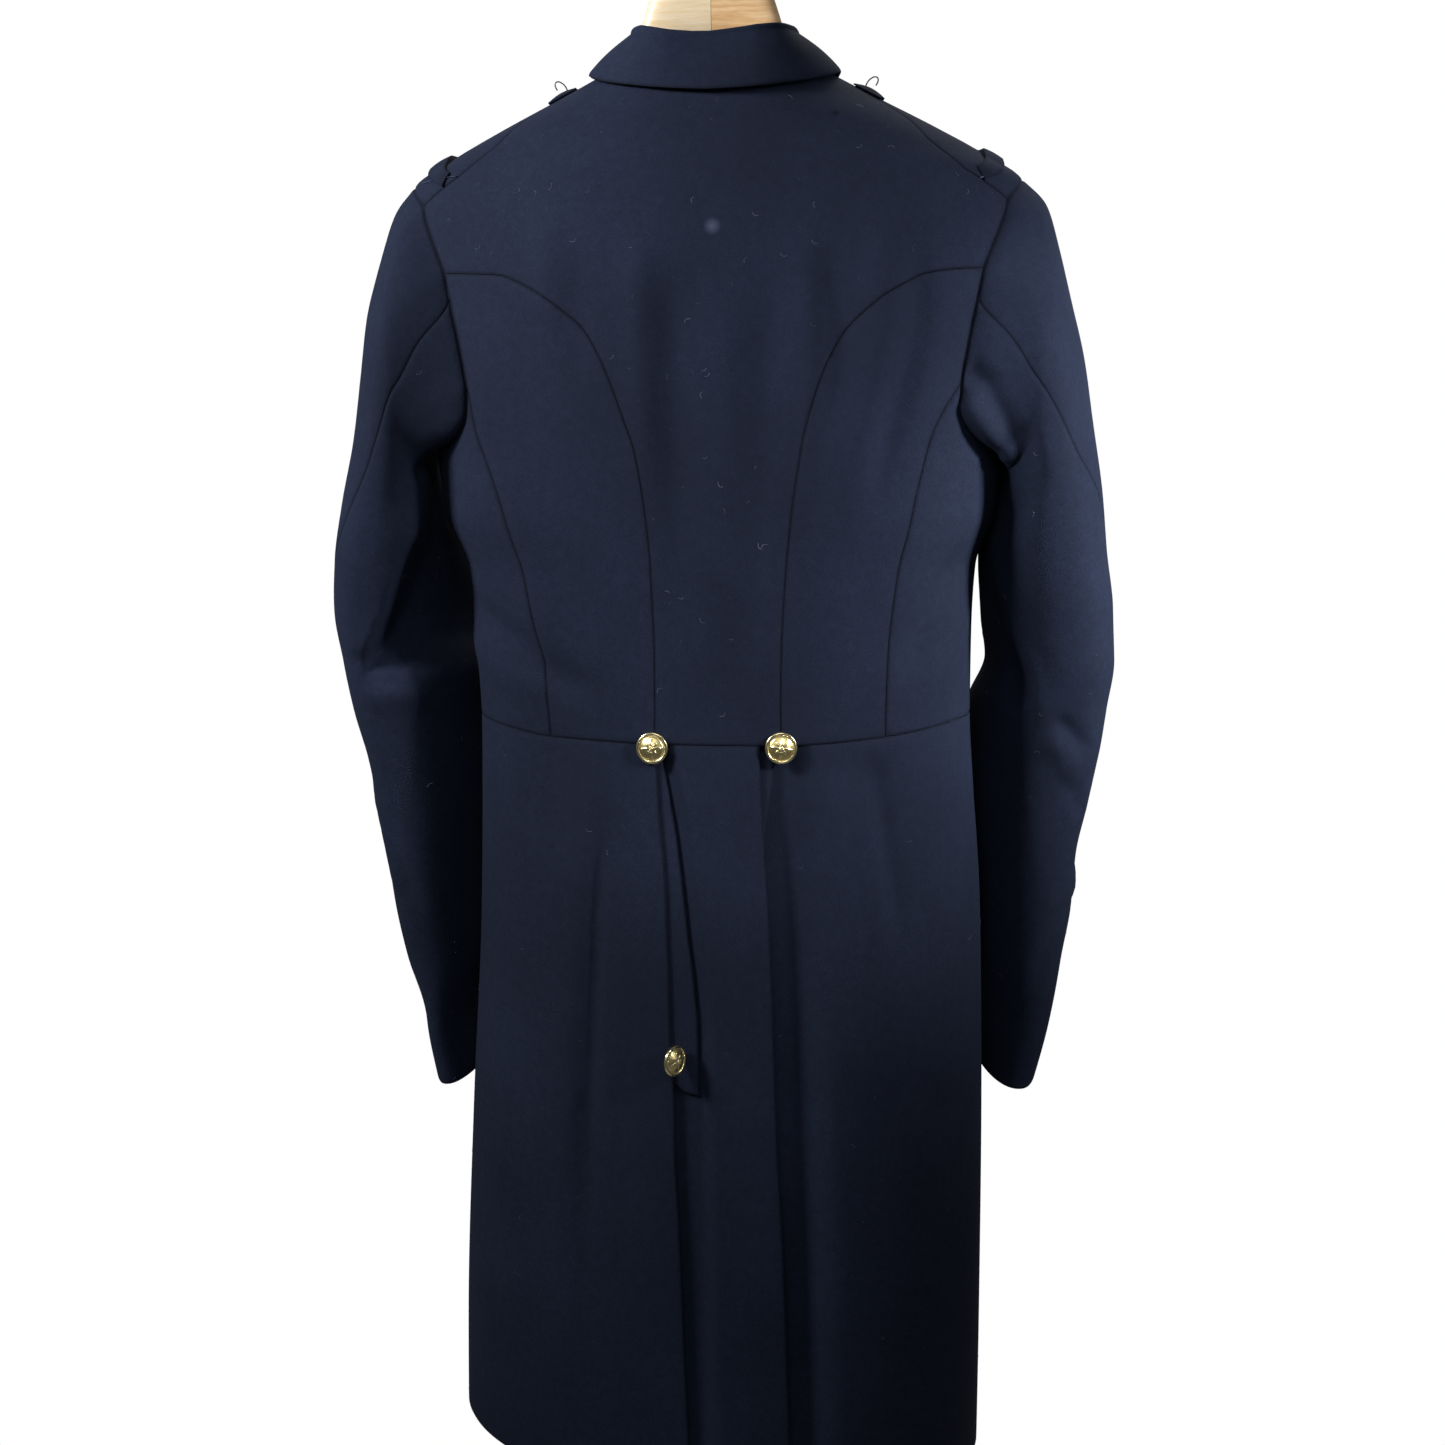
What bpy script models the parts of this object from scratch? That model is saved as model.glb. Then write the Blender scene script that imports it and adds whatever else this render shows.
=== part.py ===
"""Naval officer's frock coat of navy wool on a two-piece wooden coat hanger with a steel hook.

Metres, +Z up. The back of the coat faces -Y, its front +Y, and the wearer's right is +X.
The tables are written from the waist seam (z = 0), and HOOK_TOP moves everything so that the
origin is where a rail touches the inside of the hook. Each cloth piece is a patch of one body
surface, bounded by its seams, so neighbours meet edge to edge with a small gap.
"""
import math

import bpy
import numpy as np
from mathutils import Matrix, Vector
from mathutils.geometry import delaunay_2d_cdt

for old in list(bpy.data.objects):
    bpy.data.objects.remove(old)

# Driving dimensions.
HOOK_TOP = Vector((0.0, -0.030, 0.620))
CLOTH = 0.0020
SEAM_GAP = 0.00024
LAYER = 0.0032
BUTTON_WIDTH = 0.0232
BUTTON_HEIGHT = 0.0062
HOOK_WIRE = 0.0044
HOOK_BEND = 0.0220
WALL_STEP = (0.024, 0.036)

# Rings of the body surface from hem to neck: height at back, side and front, half width on the
# wearer's left and right, depth to the back and to the front, roundness of the superellipse.
RINGS = np.array([
    (-0.620, -0.620, -0.620, 0.2065, 0.1895, 0.1310, 0.1210, 2.30),
    (-0.460, -0.460, -0.460, 0.2030, 0.1920, 0.1280, 0.1180, 2.30),
    (-0.300, -0.300, -0.300, 0.1945, 0.1932, 0.1240, 0.1140, 2.30),
    (-0.150, -0.150, -0.150, 0.1845, 0.1915, 0.1170, 0.1080, 2.30),
    (-0.055, -0.055, -0.055, 0.1815, 0.1860, 0.1060, 0.1010, 2.30),
    (+0.000, +0.000, +0.000, 0.1805, 0.1835, 0.1010, 0.0980, 2.35),
    (+0.060, +0.060, +0.060, 0.1832, 0.1842, 0.1040, 0.1010, 2.40),
    (+0.110, +0.110, +0.110, 0.1865, 0.1872, 0.1090, 0.1060, 2.40),
    (+0.155, +0.152, +0.155, 0.2030, 0.2025, 0.1120, 0.1100, 2.40),
    (+0.210, +0.200, +0.210, 0.2080, 0.2080, 0.1145, 0.1120, 2.35),
    (+0.270, +0.262, +0.265, 0.2120, 0.2120, 0.1150, 0.1110, 2.30),
    (+0.330, +0.320, +0.318, 0.2200, 0.2200, 0.1110, 0.1030, 2.20),
    (+0.375, +0.362, +0.352, 0.2250, 0.2250, 0.1040, 0.0910, 2.10),
    (+0.403, +0.386, +0.376, 0.2200, 0.2200, 0.0970, 0.0800, 2.05),
    (+0.422, +0.4055, +0.393, 0.1920, 0.1920, 0.0900, 0.0710, 2.00),
    (+0.436, +0.426, +0.405, 0.1550, 0.1550, 0.0850, 0.0640, 2.00),
    (+0.447, +0.448, +0.415, 0.1120, 0.1120, 0.0800, 0.0580, 2.00),
    (+0.456, +0.468, +0.424, 0.0740, 0.0740, 0.0740, 0.0530, 2.10),
])
TOP = len(RINGS) - 1

# Seams as (angle round the body in degrees from centre back, height), the same on both sides
# unless two lists are given. A height of None is the neck edge.
SIDE_BODY_SEAM = {
    "left": [(72.2, 0.3258), (66.0, 0.3255), (59.7, 0.3246), (55.5, 0.3200), (50.2, 0.3116),
             (44.4, 0.2999), (39.4, 0.2882), (35.6, 0.2730), (32.3, 0.2545), (28.2, 0.2265),
             (24.6, 0.2000), (22.6, 0.1650), (21.5, 0.1200), (21.8, 0.0750), (23.3, -0.0065)],
    "right": [(72.2, 0.3258), (66.0, 0.3253), (60.4, 0.3228), (57.5, 0.3185), (52.0, 0.3105),
              (46.6, 0.2980), (42.0, 0.2850), (38.4, 0.2695), (34.7, 0.2490), (32.1, 0.2285),
              (29.3, 0.1960), (27.0, 0.1505), (25.7, 0.0975), (25.4, 0.0500), (25.7, -0.0080)],
}
UNDERARM_SEAM = {
    "left": [(67.3, 0.2450), (65.6, 0.2140), (62.4, 0.1844), (60.4, 0.1597), (59.4, 0.1389),
             (58.3, 0.1087), (57.7, 0.0850), (56.3, 0.0515), (55.4, -0.0045)],
    "right": [(67.3, 0.2450), (63.6, 0.2271), (61.2, 0.2110), (59.5, 0.1900), (58.2, 0.1690),
              (57.1, 0.1395), (56.2, 0.1050), (55.7, 0.0590), (56.0, -0.0050)],
}
ARMHOLE_BACK = [(79.0, 0.3735), (75.7, 0.3500), (72.2, 0.3258)]
ARMHOLE_SIDE = [(72.2, 0.3258), (70.6, 0.3020), (68.9, 0.2770), (67.3, 0.2450)]
ARMHOLE_FRONT = [(67.3, 0.2450), (67.8, 0.2270), (70.5, 0.2120), (76.0, 0.2035), (84.0, 0.1990),
                 (92.0, 0.1980), (100.0, 0.2010), (107.5, 0.2120), (113.0, 0.2350),
                 (115.0, 0.2650), (113.5, 0.3000), (109.0, 0.3350), (102.0, 0.3640),
                 (95.0, 0.3800), (89.0, 0.3865), (83.5, 0.3810), (79.0, 0.3735)]
SHOULDER_SEAM = [(79.0, 0.3735), (75.0, 0.3860), (72.0, 0.3980), (72.0, 0.4140), (77.0, 0.4310),
                 (81.0, 0.4480), (82.0, None)]
ROLL_LINE = [(222.0, 0.2650), (205.0, 0.3050), (188.0, 0.3440), (170.0, 0.3780), (152.0, 0.4060),
             (138.0, 0.4280), (130.0, None)]
FRONT_EDGE = [(222.0, 0.2650), (220.0, 0.2000), (219.0, 0.1000), (219.0, -0.0080)]
SKIRT_FRONT_EDGE = [(219.0, -0.0080), (216.3, -0.1500), (214.7, -0.3000), (213.0, -0.4600),
                    (211.4, -0.5740)]
# The right lapel shows from the left roll line up, the left one from the top button up.
LAPEL_EDGE = {
    "left": [(222.0, 0.2650), (207.0, 0.2700), (190.0, 0.2950), (168.0, 0.3330),
             (146.0, 0.3620), (131.0, 0.3800), (122.5, 0.3920)],
    "right": [(177.0, 0.3560), (162.0, 0.3480), (146.0, 0.3620), (131.0, 0.3800),
              (122.5, 0.3920)],
}
LAPEL_TOP = [(122.5, 0.3920), (130.0, 0.4020), (138.0, 0.4090), (146.0, 0.4140)]
LAPEL_ROLL = {
    "left": [(222.0, 0.2650), (205.0, 0.3050), (188.0, 0.3440), (170.0, 0.3780),
             (152.0, 0.4060), (146.0, 0.4140)],
    "right": [(177.0, 0.3560), (170.0, 0.3780), (152.0, 0.4060), (146.0, 0.4140)],
}
# Waist seam and hem: height by signed angle, the wearer's left being negative.
WAIST_LINE = [(-225, -0.0080), (-180, -0.0080), (-140, -0.0030), (-100, 0.0020), (-78, 0.0018),
              (-70, 0.0000), (-58, -0.0042), (-44, -0.0056), (-30, -0.0070), (0, -0.0080),
              (30, -0.0086), (44, -0.0074), (56, -0.0050), (66, -0.0020), (75, 0.0008),
              (100, 0.0020), (140, -0.0030), (180, -0.0080), (225, -0.0080)]
JOINT_ANGLES = [-55.4, -23.3, 25.7, 56.0]
HEM_LINE = [(-225, -0.5740), (-180, -0.5700), (-140, -0.5560), (-110, -0.5420), (-90, -0.5380),
            (-76, -0.5410), (-64, -0.5480), (-45, -0.5600), (-20, -0.5690), (0, -0.5720),
            (45, -0.5730), (90, -0.5715), (180, -0.5740), (225, -0.5740)]
# Edges of the back skirt pieces: signed angle and height.
SKIRT_LEFT_BACK = [(-23.3, -0.0075), (-19.8, -0.0738), (-17.6, -0.1129), (-16.2, -0.1655),
                   (-15.4, -0.2204), (-14.1, -0.2669), (-13.9, -0.3041), (-12.6, -0.3626),
                   (-11.1, -0.4638), (-10.1, -0.5254), (-9.6, -0.5705)]
SKIRT_RIGHT_BACK = [(3.0, -0.0082), (3.0, -0.2000), (4.0, -0.4000), (5.0, -0.5720)]
PANEL_RIGHT_EDGE = [(18.0, -0.0084), (17.9, -0.0401), (18.3, -0.0856), (18.8, -0.1313),
                    (19.1, -0.1768), (19.4, -0.2487), (19.8, -0.3036), (20.7, -0.3591),
                    (21.4, -0.4289), (22.0, -0.5227), (22.3, -0.5722)]
PANEL_LEFT_EDGE = [(-36.0, -0.0066), (-32.0, -0.1500), (-29.0, -0.3000), (-26.0, -0.4600),
                   (-24.0, -0.5680)]
FLAP_LEFT = [(-21.3, -0.0120), (-16.1, -0.0580), (-12.6, -0.0985), (-10.5, -0.1313),
             (-8.4, -0.1638), (-7.2, -0.1880), (-6.4, -0.2141), (-6.2, -0.2613)]
FLAP_LEFT_FOOT = [(-6.2, -0.2613), (-8.6, -0.2605), (-11.0, -0.2590), (-14.2, -0.2540),
                  (-18.5, -0.2560), (-22.0, -0.2540)]
FLAP_LEFT_BACK = [(-22.0, -0.2540), (-25.5, -0.1600), (-29.0, -0.0800), (-31.0, -0.0120)]
FLAP_RIGHT = [(23.4, -0.0120), (22.6, -0.0300), (20.2, -0.0580), (17.0, -0.1000),
              (14.0, -0.2200), (13.5, -0.2560)]
FLAP_RIGHT_BACK = [(7.5, -0.2560), (8.0, -0.1000), (9.0, -0.0120)]

# Largest folds of the body and skirts: half width and depth in mm (a ridge has a negative depth),
# the shares of its length over which a fold rises and dies, and its angles and heights.
BODY_FOLDS = [
    (14, 6.0, 0.40, 0.45, [(-39.5, -0.020), (-40, -0.150), (-41, -0.300), (-41, -0.380),
                           (-40, -0.560)]),
    (14, 3.4, 0.15, 0.45, [(53, -0.012), (54, -0.064), (55, -0.133), (57, -0.200)]),
    (16, -2.2, 0.20, 0.40, [(43.5, -0.020), (44.5, -0.085), (46.5, -0.156), (50, -0.260)]),
    (12, 4.0, 0.25, 0.35, [(-86, 0.100), (-74, 0.082), (-64, 0.066), (-52, 0.040), (-40, 0.026)]),
    (12, 4.5, 0.25, 0.30, [(74, 0.135), (70.5, 0.108), (66.5, 0.085), (57, 0.030)]),
    (14, 3.8, 0.25, 0.40, [(-122, -0.012), (-124, -0.120), (-127, -0.260), (-129, -0.400)]),
    (14, 3.4, 0.25, 0.40, [(126, -0.012), (129, -0.110), (132, -0.250), (134, -0.390)]),
]
# Sleeves from armhole to cuff: outer point x z, inner point x z, middle y, half depth, roundness,
# how far the section leans outwards at its back, and the back and front seams in degrees round it.
SLEEVE = {
    "left": np.array([
        (0.2225, 0.3865, 0.2080, 0.1980, -0.002, 0.073, 2.2, 0.000, 82, -108),
        (0.2345, 0.3690, 0.2130, 0.1925, -0.003, 0.077, 2.2, 0.000, 91, -112),
        (0.2425, 0.3380, 0.2140, 0.1850, -0.004, 0.079, 2.2, 0.000, 99, -116),
        (0.2520, 0.3010, 0.2130, 0.1760, -0.003, 0.080, 2.2, 0.002, 96, -120),
        (0.2565, 0.2620, 0.2100, 0.1640, -0.001, 0.080, 2.2, 0.005, 89, -124),
        (0.2614, 0.2150, 0.2061, 0.1470, +0.002, 0.079, 2.2, 0.010, 79, -128),
        (0.2713, 0.1650, 0.1978, 0.1240, +0.006, 0.077, 2.2, 0.015, 61, -132),
        (0.2792, 0.1200, 0.1914, 0.0970, +0.011, 0.074, 2.2, 0.018, 40, -136),
        (0.2818, 0.0780, 0.1879, 0.0660, +0.018, 0.071, 2.2, 0.020, 18, -140),
        (0.2792, 0.0400, 0.1840, 0.0340, +0.025, 0.070, 2.2, 0.018, 2, -144),
        (0.2741, 0.0030, 0.1817, 0.0010, +0.032, 0.069, 2.2, 0.018, -9, -147),
        (0.2653, -0.0340, 0.1807, -0.0340, +0.038, 0.068, 2.2, 0.018, -16, -149),
        (0.2592, -0.0710, 0.1806, -0.0705, +0.043, 0.067, 2.2, 0.018, -21, -150),
        (0.2533, -0.1100, 0.1827, -0.1095, +0.047, 0.066, 2.2, 0.018, -23, -150),
        (0.2485, -0.1500, 0.1825, -0.1495, +0.050, 0.065, 2.2, 0.018, -24, -150),
        (0.2399, -0.1930, 0.1803, -0.1925, +0.052, 0.063, 2.2, 0.018, -25, -150),
        (0.2230, -0.2350, 0.1885, -0.2340, +0.053, 0.062, 2.2, 0.018, -25, -150),
        (0.2210, -0.2790, 0.1865, -0.2770, +0.054, 0.060, 2.2, 0.012, -25, -150),
    ]),
    "right": np.array([
        (0.2225, 0.3865, 0.2080, 0.1980, -0.002, 0.073, 2.2, 0.000, 83, -108),
        (0.2380, 0.3690, 0.2130, 0.1925, -0.003, 0.077, 2.2, 0.000, 91, -112),
        (0.2462, 0.3380, 0.2140, 0.1850, -0.004, 0.079, 2.2, 0.000, 97, -116),
        (0.2547, 0.3010, 0.2130, 0.1760, -0.003, 0.080, 2.2, 0.002, 90, -120),
        (0.2635, 0.2620, 0.2095, 0.1640, -0.001, 0.080, 2.2, 0.004, 80, -124),
        (0.2701, 0.2150, 0.2050, 0.1470, +0.002, 0.079, 2.2, 0.006, 64, -128),
        (0.2772, 0.1650, 0.1968, 0.1240, +0.006, 0.077, 2.2, 0.008, 37, -132),
        (0.2812, 0.1200, 0.1952, 0.0970, +0.011, 0.074, 2.2, 0.009, 20, -136),
        (0.2863, 0.0780, 0.1951, 0.0660, +0.018, 0.071, 2.2, 0.010, 5, -140),
        (0.2869, 0.0400, 0.1980, 0.0340, +0.025, 0.070, 2.2, 0.013, -6, -144),
        (0.2802, 0.0030, 0.1872, 0.0010, +0.032, 0.069, 2.2, 0.018, -13, -147),
        (0.2727, -0.0340, 0.1808, -0.0340, +0.038, 0.068, 2.2, 0.022, -18, -149),
        (0.2652, -0.0710, 0.1780, -0.0705, +0.043, 0.067, 2.2, 0.022, -22, -150),
        (0.2563, -0.1100, 0.1785, -0.1095, +0.047, 0.066, 2.2, 0.022, -23, -150),
        (0.2530, -0.1500, 0.1797, -0.1495, +0.050, 0.065, 2.2, 0.022, -24, -150),
        (0.2446, -0.1930, 0.1826, -0.1925, +0.052, 0.063, 2.2, 0.022, -25, -150),
        (0.2380, -0.2350, 0.1890, -0.2340, +0.053, 0.062, 2.2, 0.018, -25, -150),
        (0.2295, -0.2790, 0.1875, -0.2770, +0.054, 0.060, 2.2, 0.012, -25, -150),
    ]),
}
CUFF_DROP = 0.012  # how much lower the back of the cuff hangs than its middle
# Hollow behind the left elbow: station, depth in mm, and the turn in degrees where it starts.
ELBOW_HOLLOW = np.array([
    (3.4, 0, 180), (4.5, 12, 152), (5.3, 24, 137), (6.05, 32, 122), (7.05, 34, 106),
    (7.75, 30, 100), (8.3, 18, 89), (8.8, 7, 74), (9.4, 0, 66),
])
# Collar: angle, fold line x y z, level and lift of the leaf's lower edge on the body surface.
COLLAR = np.array([
    (0, 0.0000, -0.0600, 0.4905, 16.02, 0.0065),
    (20, 0.0275, -0.0585, 0.4922, 16.10, 0.0065),
    (40, 0.0490, -0.0460, 0.4945, 16.28, 0.0060),
    (65, 0.0565, -0.0200, 0.4945, 16.48, 0.0058),
    (90, 0.0580, 0.0030, 0.4925, 16.62, 0.0052),
    (110, 0.0550, 0.0230, 0.4840, 16.55, 0.0042),
    (130, 0.0490, 0.0390, 0.4680, 16.15, 0.0046),
    (139, 0.0455, 0.0450, 0.4600, 16.00, 0.0050),
])
# Hanger arm from the mitre to the tip: upper point x z, lower point x z, middle y, half depth.
ARM = np.array([
    (0.00015, 0.5385, 0.00015, 0.4850, -0.030, 0.0105),
    (0.0200, 0.5372, 0.0120, 0.4836, -0.030, 0.0105),
    (0.0335, 0.5305, 0.0225, 0.4795, -0.030, 0.0105),
    (0.0420, 0.5185, 0.0320, 0.4720, -0.030, 0.0105),
    (0.0478, 0.5020, 0.0400, 0.4635, -0.030, 0.0105),
    (0.0530, 0.4850, 0.0480, 0.4550, -0.029, 0.0115),
    (0.0600, 0.4705, 0.0570, 0.4460, -0.027, 0.0130),
    (0.0740, 0.4590, 0.0720, 0.4360, -0.021, 0.0130),
    (0.1120, 0.4408, 0.1080, 0.4160, -0.013, 0.0150),
    (0.1550, 0.4205, 0.1480, 0.3930, -0.009, 0.0190),
    (0.1850, 0.4025, 0.1770, 0.3760, -0.007, 0.0195),
    (0.1985, 0.3895, 0.1940, 0.3690, -0.007, 0.0150),
    (0.2010, 0.3850, 0.1990, 0.3740, -0.008, 0.0080),
])
FRONT_BUTTONS = [(0.078, 0.238), (0.070, 0.168), (0.062, 0.098), (0.054, 0.028)]

coat = bpy.data.collections.new("naval_frock_coat")
bpy.context.scene.collection.children.link(coat)


def smooth_rows(table, at):
    """Rows of a table at fractional row numbers, by a cubic that never overshoots."""
    at = np.clip(np.asarray(at, float), 0, len(table) - 1)
    row = np.clip(at.astype(int), 0, len(table) - 2)
    part = (at - row)[..., None]
    steps = np.diff(table, axis=0)
    before = steps[np.maximum(row - 1, 0)]
    here = steps[row]
    after = steps[np.minimum(row + 1, len(steps) - 1)]

    def slope(first, second):
        both = first * second
        total = np.where(first + second == 0, 1, first + second)
        return np.where(both > 0, 2 * both / total, 0)

    start = np.where((row == 0)[..., None], here, slope(before, here))
    end = np.where((row == len(table) - 2)[..., None], here, slope(here, after))
    ease = part * part * (3 - 2 * part)
    bend = start * part * (1 - part) ** 2 - end * part * part * (1 - part)
    return table[row] + here * ease + bend


def body(angle, level):
    """Point of the body surface at an angle in radians from centre back and a ring number."""
    row = smooth_rows(RINGS, level)
    back_z, side_z, front_z, left, right, back, front, power = np.moveaxis(row, -1, 0)
    across, along = np.sin(angle), np.cos(angle)
    width = np.where(across < 0, left, right)
    depth = np.where(along > 0, back, front)
    radius = (np.abs(across / width) ** power + np.abs(along / depth) ** power) ** (-1 / power)
    share = np.clip((radius * across / width) ** 2, 0, 1)
    height = side_z * share + np.where(along > 0, back_z, front_z) * (1 - share)
    return np.stack([radius * across, -radius * along, height], -1)


def unit(vectors):
    return vectors / np.maximum(np.linalg.norm(vectors, axis=-1, keepdims=True), 1e-12)


def body_normal(angle, level):
    step = 0.004
    turn = body(angle + step, level) - body(angle - step, level)
    low = np.clip(np.asarray(level) - step, 0, TOP)
    high = np.clip(np.asarray(level) + step, 0, TOP)
    rise = body(angle, high) - body(angle, low)
    return unit(np.cross(turn, rise))


LEVELS = np.linspace(0, TOP, 1400)


def level_of(angle, height):
    if height is None:
        return float(TOP)
    return float(np.interp(height, body(angle, LEVELS)[:, 2], LEVELS))


# Flat map of the body surface: angle times MAP_WIDTH, and length of cloth up to each ring.
MAP_WIDTH = 0.155
MERIDIAN = np.mean([np.linalg.norm(np.diff(body(math.radians(a), np.arange(TOP + 1.0)), axis=0),
                                   axis=1) for a in (0, 60, 90)], axis=0)
CLOTH_UP = np.concatenate([[0], np.cumsum(MERIDIAN)])


def on_map(points, side=1):
    """Map points of (degrees, height) pairs, mirrored for side -1."""
    found = []
    for degrees, height in points:
        angle = side * math.radians(degrees)
        level = level_of(angle, height)
        found.append((angle * MAP_WIDTH, np.interp(level, range(TOP + 1), CLOTH_UP)))
    return np.array(found)


def from_map(points):
    return points[:, 0] / MAP_WIDTH, np.interp(points[:, 1], CLOTH_UP, range(TOP + 1))


def seam(points, step=0.024):
    """Evenly spaced points along a smooth curve through map points."""
    fine = smooth_rows(points, np.linspace(0, len(points) - 1, 40 * len(points)))
    length = np.concatenate([[0], np.cumsum(np.linalg.norm(np.diff(fine, axis=0), axis=1))])
    count = max(1, round(length[-1] / step))
    even = np.linspace(0, length[-1], count + 1)
    return np.stack([np.interp(even, length, fine[:, k]) for k in (0, 1)], 1)


def line_between(table, first, last, step=8.0):
    """The waist seam or hem from one signed angle to another, cut at the same angles for all."""
    low, high = sorted((first, last))
    joints = [a for a in JOINT_ANGLES if low + 1.5 < a < high - 1.5]
    marks = [a for a in np.arange(-224, 225, step) if low + 2.5 < a < high - 2.5]
    marks = [a for a in marks if all(abs(a - j) > 2.5 for j in JOINT_ANGLES)]
    angles = [first] + sorted(joints + marks, reverse=first > last) + [last]
    heights = np.interp(angles, [row[0] for row in table], [row[1] for row in table])
    return on_map(list(zip(angles, heights)))


def neck_line(first, last):
    return seam(on_map([(a, None) for a in np.linspace(first, last, 30)]), 0.030)


def loop(*edges):
    """One closed outline from edges that run head to tail."""
    return np.concatenate([edge[:-1] for edge in edges])


def inside(points, outline):
    """Which points lie inside a closed outline."""
    x, y = points[:, 0:1], points[:, 1:2]
    x1, y1 = outline.T
    x2, y2 = np.roll(outline, -1, axis=0).T
    span = np.where(y2 == y1, 1e-12, y2 - y1)
    crosses = ((y1 > y) != (y2 > y)) & (x < (x2 - x1) * (y - y1) / span + x1)
    return crosses.sum(1) % 2 == 1


def edge_distance(points, outline):
    start, side = outline, np.roll(outline, -1, axis=0) - outline
    rel = points[:, None] - start[None]
    share = np.clip((rel * side).sum(-1) / np.maximum((side * side).sum(-1), 1e-12), 0, 1)
    return np.linalg.norm(rel - share[..., None] * side, axis=-1).min(1)


def linear(colour):
    """Linear RGBA of an sRGB hex colour."""
    parts = [int(colour[k:k + 2], 16) / 255 for k in (0, 2, 4)]
    return [p / 12.92 if p <= 0.04045 else ((p + 0.055) / 1.055) ** 2.4 for p in parts] + [1]


def finish(obj, colour, roughness, metallic=0.0):
    """Puts the object in the coat's collection with its own material."""
    material = bpy.data.materials.new(obj.name)
    material.use_nodes = True
    shader = material.node_tree.nodes["Principled BSDF"]
    shader.inputs["Base Color"].default_value = linear(colour)
    shader.inputs["Roughness"].default_value = roughness
    shader.inputs["Metallic"].default_value = metallic
    obj.data.materials.append(material)
    coat.objects.link(obj)
    return obj


def triangles_of(points, face):
    """A face as triangles, a quad being cut along its shorter diagonal."""
    if len(face) == 3:
        return [face]
    a, b, c, d = face
    if np.linalg.norm(points[a] - points[c]) <= np.linalg.norm(points[b] - points[d]):
        return [(a, b, c), (a, c, d)]
    return [(a, b, d), (b, c, d)]


def cloth(name, points, normals, faces, colour="262c40"):
    """A cloth wall whose outer face is the given mesh and whose inner face lies CLOTH below."""
    count = len(points)
    faces = [list(map(int, t)) for f in faces for t in triangles_of(points, f)]
    sides = [(f[k], f[(k + 1) % len(f)]) for f in faces for k in range(len(f))]
    known = set(sides)
    both = np.concatenate([points, points - normals * CLOTH])
    solid = faces + [[v + count for v in f[::-1]] for f in faces]
    for a, b in sides:
        if (b, a) in known:
            continue
        if points[a][2] < points[b][2]:
            solid += [[b, a, b + count], [a, a + count, b + count]]
        else:
            solid += [[b, a, a + count], [b, a + count, b + count]]
    mesh = bpy.data.meshes.new(name)
    mesh.from_pydata([Vector(p) - HOOK_TOP for p in both], [], solid)
    mesh.update()
    return finish(bpy.data.objects.new(name, mesh), colour, 0.95)


def ease(value):
    value = np.clip(value, 0, 1)
    return value * value * (3 - 2 * value)


def line_distance(points, line):
    """Distance of each point from a line of points, and how far along it the nearest place is."""
    nearest = np.full(len(points), np.inf)
    along = np.zeros(len(points))
    for number, (start, end) in enumerate(zip(line[:-1], line[1:])):
        side = end - start
        share = np.clip((points - start) @ side / max(side @ side, 1e-12), 0, 1)
        away = np.linalg.norm(points - start - share[:, None] * side, axis=1)
        closer = away < nearest
        nearest[closer] = away[closer]
        along[closer] = (number + share[closer]) / (len(line) - 1)
    return nearest, along


def sunk(points):
    """How far the folds sink each point of the body surface."""
    total = np.zeros(len(points))
    for half_width, depth, rise, fall, path in BODY_FOLDS:
        fine = smooth_rows(np.array(path), np.linspace(0, len(path) - 1, 5 * len(path)))
        angle = np.radians(fine[:, 0])
        level = np.array([level_of(a, z) for a, z in zip(angle, fine[:, 1])])
        away, along = line_distance(points, body(angle, level))
        fade = ease(along / rise) * ease((1 - along) / fall)
        total += 0.001 * depth * fade * np.exp(-(away / (0.001 * half_width)) ** 2)
    return total


def fold_marks():
    """Map points along and beside every fold, so that the cloth's mesh can follow it."""
    marks = []
    for half_width, _, _, _, path in BODY_FOLDS:
        line = seam(on_map(path), 0.036)
        ahead = unit(np.gradient(line, axis=0))
        beside = np.stack([-ahead[:, 1], ahead[:, 0]], 1) * 0.0011 * half_width
        marks += [line[1:-1], (line + beside)[1:-1:2], (line - beside)[1:-1:2]]
    return np.concatenate(marks)


FOLD_MARKS = fold_marks()


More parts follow.
